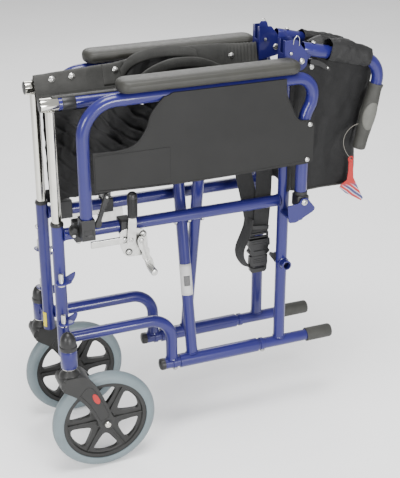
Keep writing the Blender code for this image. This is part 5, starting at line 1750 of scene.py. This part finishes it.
def back_half(s, w):
    """One half of the lower back, with its rolled hem and the sleeve on the upright."""
    body = f"{w}_frame"
    made = put(f"back_fall_{w}", grid(lambda a, b: back_fall(s, a, b), 90, 70), "backcloth_painted_shade", None,
               angle=180)
    press_back(made, body)
    hem = [back_fall(s, i / 60, 1.0) + Vector((s * 0.0004, 0, 0.0006)) for i in range(61)]
    press_back(put(f"back_hem_{w}", sweep(hem, 0.0017, 10), "hem", None, angle=180), body)
    front = grid(lambda a, b: back_wrap(s, a, b), 22, 50)
    wrapped = put(f"back_wrap_{w}", front, "backcloth_painted_shade", None, angle=180)
    solidify(wrapped, 0.0012)
    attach(wrapped, body)


def back_wrap(s, a, b):
    """Cloth sleeve round the rear upright's back face."""
    turn = math.radians(-10 + 190 * a)
    radius = TUBE_R + 0.0016 + 0.0008 * fbm(a * 4, b * 9, s, 3)
    return Vector((s * (SX - radius * math.cos(turn)), R + radius * math.sin(turn),
                   0.6960 - 0.2080 * b))


def back_sheet():
    """Thin middle sheet across the lower back."""
    def point(a, b):
        x = -SHEET_HALF + 2 * SHEET_HALF * a
        y = R + 0.0128 + 0.0012 * fbm(b * 5, a * 3, 1.5, 3)
        return Vector((x, y, 0.6950 - 0.2060 * b))

    made = put("back_sheet_lower", grid(point, 40, 40), "backcloth_painted_shade", None, angle=180)
    solidify(made, 0.0010)
    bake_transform(made)
    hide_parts("back_lower")


def roll_point(s, a, b):
    """Sleeve of the upper back round its cane; a along the cane, b round it."""
    run = 0.0550 + ROLL_LENGTH * a
    turn = 2 * math.pi * b
    corner = max(0.0, (a - 0.86) / 0.14) ** 2
    if s > 0:
        lift_high = 0.0215 + 0.0050 * math.sin(math.pi * min(1.0, a * 1.25 + 0.08)) - 0.0050 * corner
        lift_low = -0.0138
    else:
        lift_high = 0.0150 + 0.0010 * math.sin(math.pi * a) - 0.0015 * corner
        lift_low = -0.0150
    wide = 0.0168 - 0.0010 * corner
    c, q = math.cos(turn), math.sin(turn)
    middle = (lift_high + lift_low) / 2
    reach = (lift_high - lift_low) / 2
    lift = middle + reach * math.copysign(abs(q) ** 0.62, q)
    side = wide * math.copysign(abs(c) ** 0.70, c)
    crosswise = 0.0007 * crease(2 * math.pi * (a * 4.0 + 0.8 * b + 0.9 * fbm(a * 3, c + s, q, 3)))
    along = 0.0010 * crease(2 * math.pi * (b * 5.0 + 0.25 * a + 0.5 * fbm(a * 2, c, q + s, 2)))
    wrinkle = crosswise + along + 0.0013 * fbm(a * 5, c * 1.5 + s * 3, q * 1.5, 4)
    side += math.copysign(wrinkle, c) * abs(c)
    lift += wrinkle * q
    y, z = cane_point(run, lift)
    return Vector((s * SX - s * 0.0015 + side, y, z))


def upper_cloth(s, w):
    """Cloth sleeve of the upper back on one cane, with a cuff at each end."""
    body = f"{w}_upper_back"
    solid = grid(lambda a, b: roll_point(s, b, a), 96, 56, close_u=True)
    made = put(f"back_roll_{w}", solid, "nylon", None, angle=180)
    solidify(made, 0.0012)
    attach(made, body)
    for k, part in enumerate((0.01, 0.985)):
        ring = [roll_point(s, part, i / 72) for i in range(73)]
        put(f"back_cuff_{k}_{w}", sweep(ring, 0.0010, 8), "nylon", body, angle=180)


def bundle_point(s, a, b):
    """Loose cloth between the canes; a along the cane, b across the bundle."""
    run = 0.0440 + 0.1000 * a
    turn = math.pi * b
    high = (0.0190 if s > 0 else 0.0120) + 0.004 * fbm(a * 3, b * 2, 3.1 * s, 3)
    high -= 0.010 * max(0.0, 1 - a * 6) + 0.006 * max(0.0, a * 6 - 5)
    low = -0.0260
    middle, reach = (high + low) / 2, (high - low) / 2
    side = (SX - TUBE_R - 0.0080) * math.sin(turn)
    fold = 0.0026 * crease(2 * math.pi * (b * 3.0 + a * 0.6 + 0.8 * fbm(a * 2, b * 3, s, 3)))
    lift = middle + (reach + fold) * math.cos(turn)
    y, z = cane_point(run, lift)
    return Vector((s * max(0.0010, side + fold * 0.4), y, z))


def upper_bundle(s, w):
    """Half of the loose upper back, crumpled between the canes."""
    body = f"{w}_upper_back"
    made = put(f"back_bundle_{w}", grid(lambda a, b: bundle_point(s, b, a), 60, 50), "nylon", None,
               angle=180)
    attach(made, body)
    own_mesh(made)


def upper_sheet():
    """Thin middle sheet of the upper back."""
    def point(a, b):
        x = -UPPER_HALF + 2 * UPPER_HALF * a
        y, z = cane_point(0.0580 + UPPER_LENGTH * b, 0.0010 * fbm(a * 4, b * 4, 2, 2))
        return Vector((x, y, z))

    made = put("back_sheet_upper", grid(point, 40, 30), "nylon", None, angle=180)
    solidify(made, 0.0010)
    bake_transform(made)
    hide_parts("back_upper")


# ---- surroundings ----------------------------------------------------------
CHAIR_MIDDLE = (0, 0, 0.45)


def area_light(name, place, size, power):
    """Square lamp aimed at the middle of the chair."""
    data = bpy.data.lights.new(name, "AREA")
    data.shape = "SQUARE"
    data.size = size
    data.energy = power
    made = bpy.data.objects.new(name, data)
    bpy.context.scene.collection.objects.link(made)
    made.location = place
    made.rotation_mode = "QUATERNION"
    made.rotation_quaternion = (Vector(CHAIR_MIDDLE) - Vector(place)).to_track_quat("-Z", "Y")


def studio():
    """Pale floor, an even sky and four soft lamps."""
    solid = plate([(-14, -14), (14, -14), (14, 14), (-14, 14)], "Z", -0.02, 0.0)
    mesh = bpy.data.meshes.new("floor")
    solid.to_mesh(mesh)
    solid.free()
    floor = bpy.data.objects.new("floor", mesh)
    bpy.context.scene.collection.objects.link(floor)
    paint = Shader("pale_floor", 0.9)
    paint.colour(paint.noise(3, 2), (0.95, 0.95, 0.95), (0.98, 0.98, 0.98))
    mesh.materials.append(paint.material)
    world = bpy.data.worlds.new("studio")
    world.use_nodes = True
    back = world.node_tree.nodes["Background"]
    back.inputs["Color"].default_value = (1.0, 1.0, 1.0, 1.0)
    back.inputs["Strength"].default_value = 0.75
    bpy.context.scene.world = world
    area_light("key", (2.75, 0.30, 0.90), 0.7, 62)
    area_light("top", (0.5, -0.2, 3.0), 1.3, 105)
    area_light("front", (1.7, -2.3, 1.3), 0.9, 55)
    area_light("rim", (-2.4, 0.6, 2.2), 1.4, 35)


def build():
    """Everything on the chair, hard pieces first."""
    for s, w in SIDES:
        side_frame(s, w)
        castor_barrel(s, w)
        castor_fork(s, w)
        castor_wheel(s, w)
        arm_socket(s, w)
        arm_pivot(s, w)
        arm(s, w)
        arm_release(s, w)
        brake(s, w)
        seat_post(s, w)
        back_bracket(s, w)
        upper_back(s, w)
    brace("brace_a", 1, BRACE_A_Y)
    brace("brace_b", -1, BRACE_B_Y)
    cross_bolt()
    lap_belt()
    hang_tag()
    stickers()
    for s, w in SIDES:
        seat_half(s, w)
        back_half(s, w)
        upper_cloth(s, w)
        upper_bundle(s, w)
    seat_base()
    seat_straps()
    back_sheet()
    upper_sheet()


camera()
build()
studio()
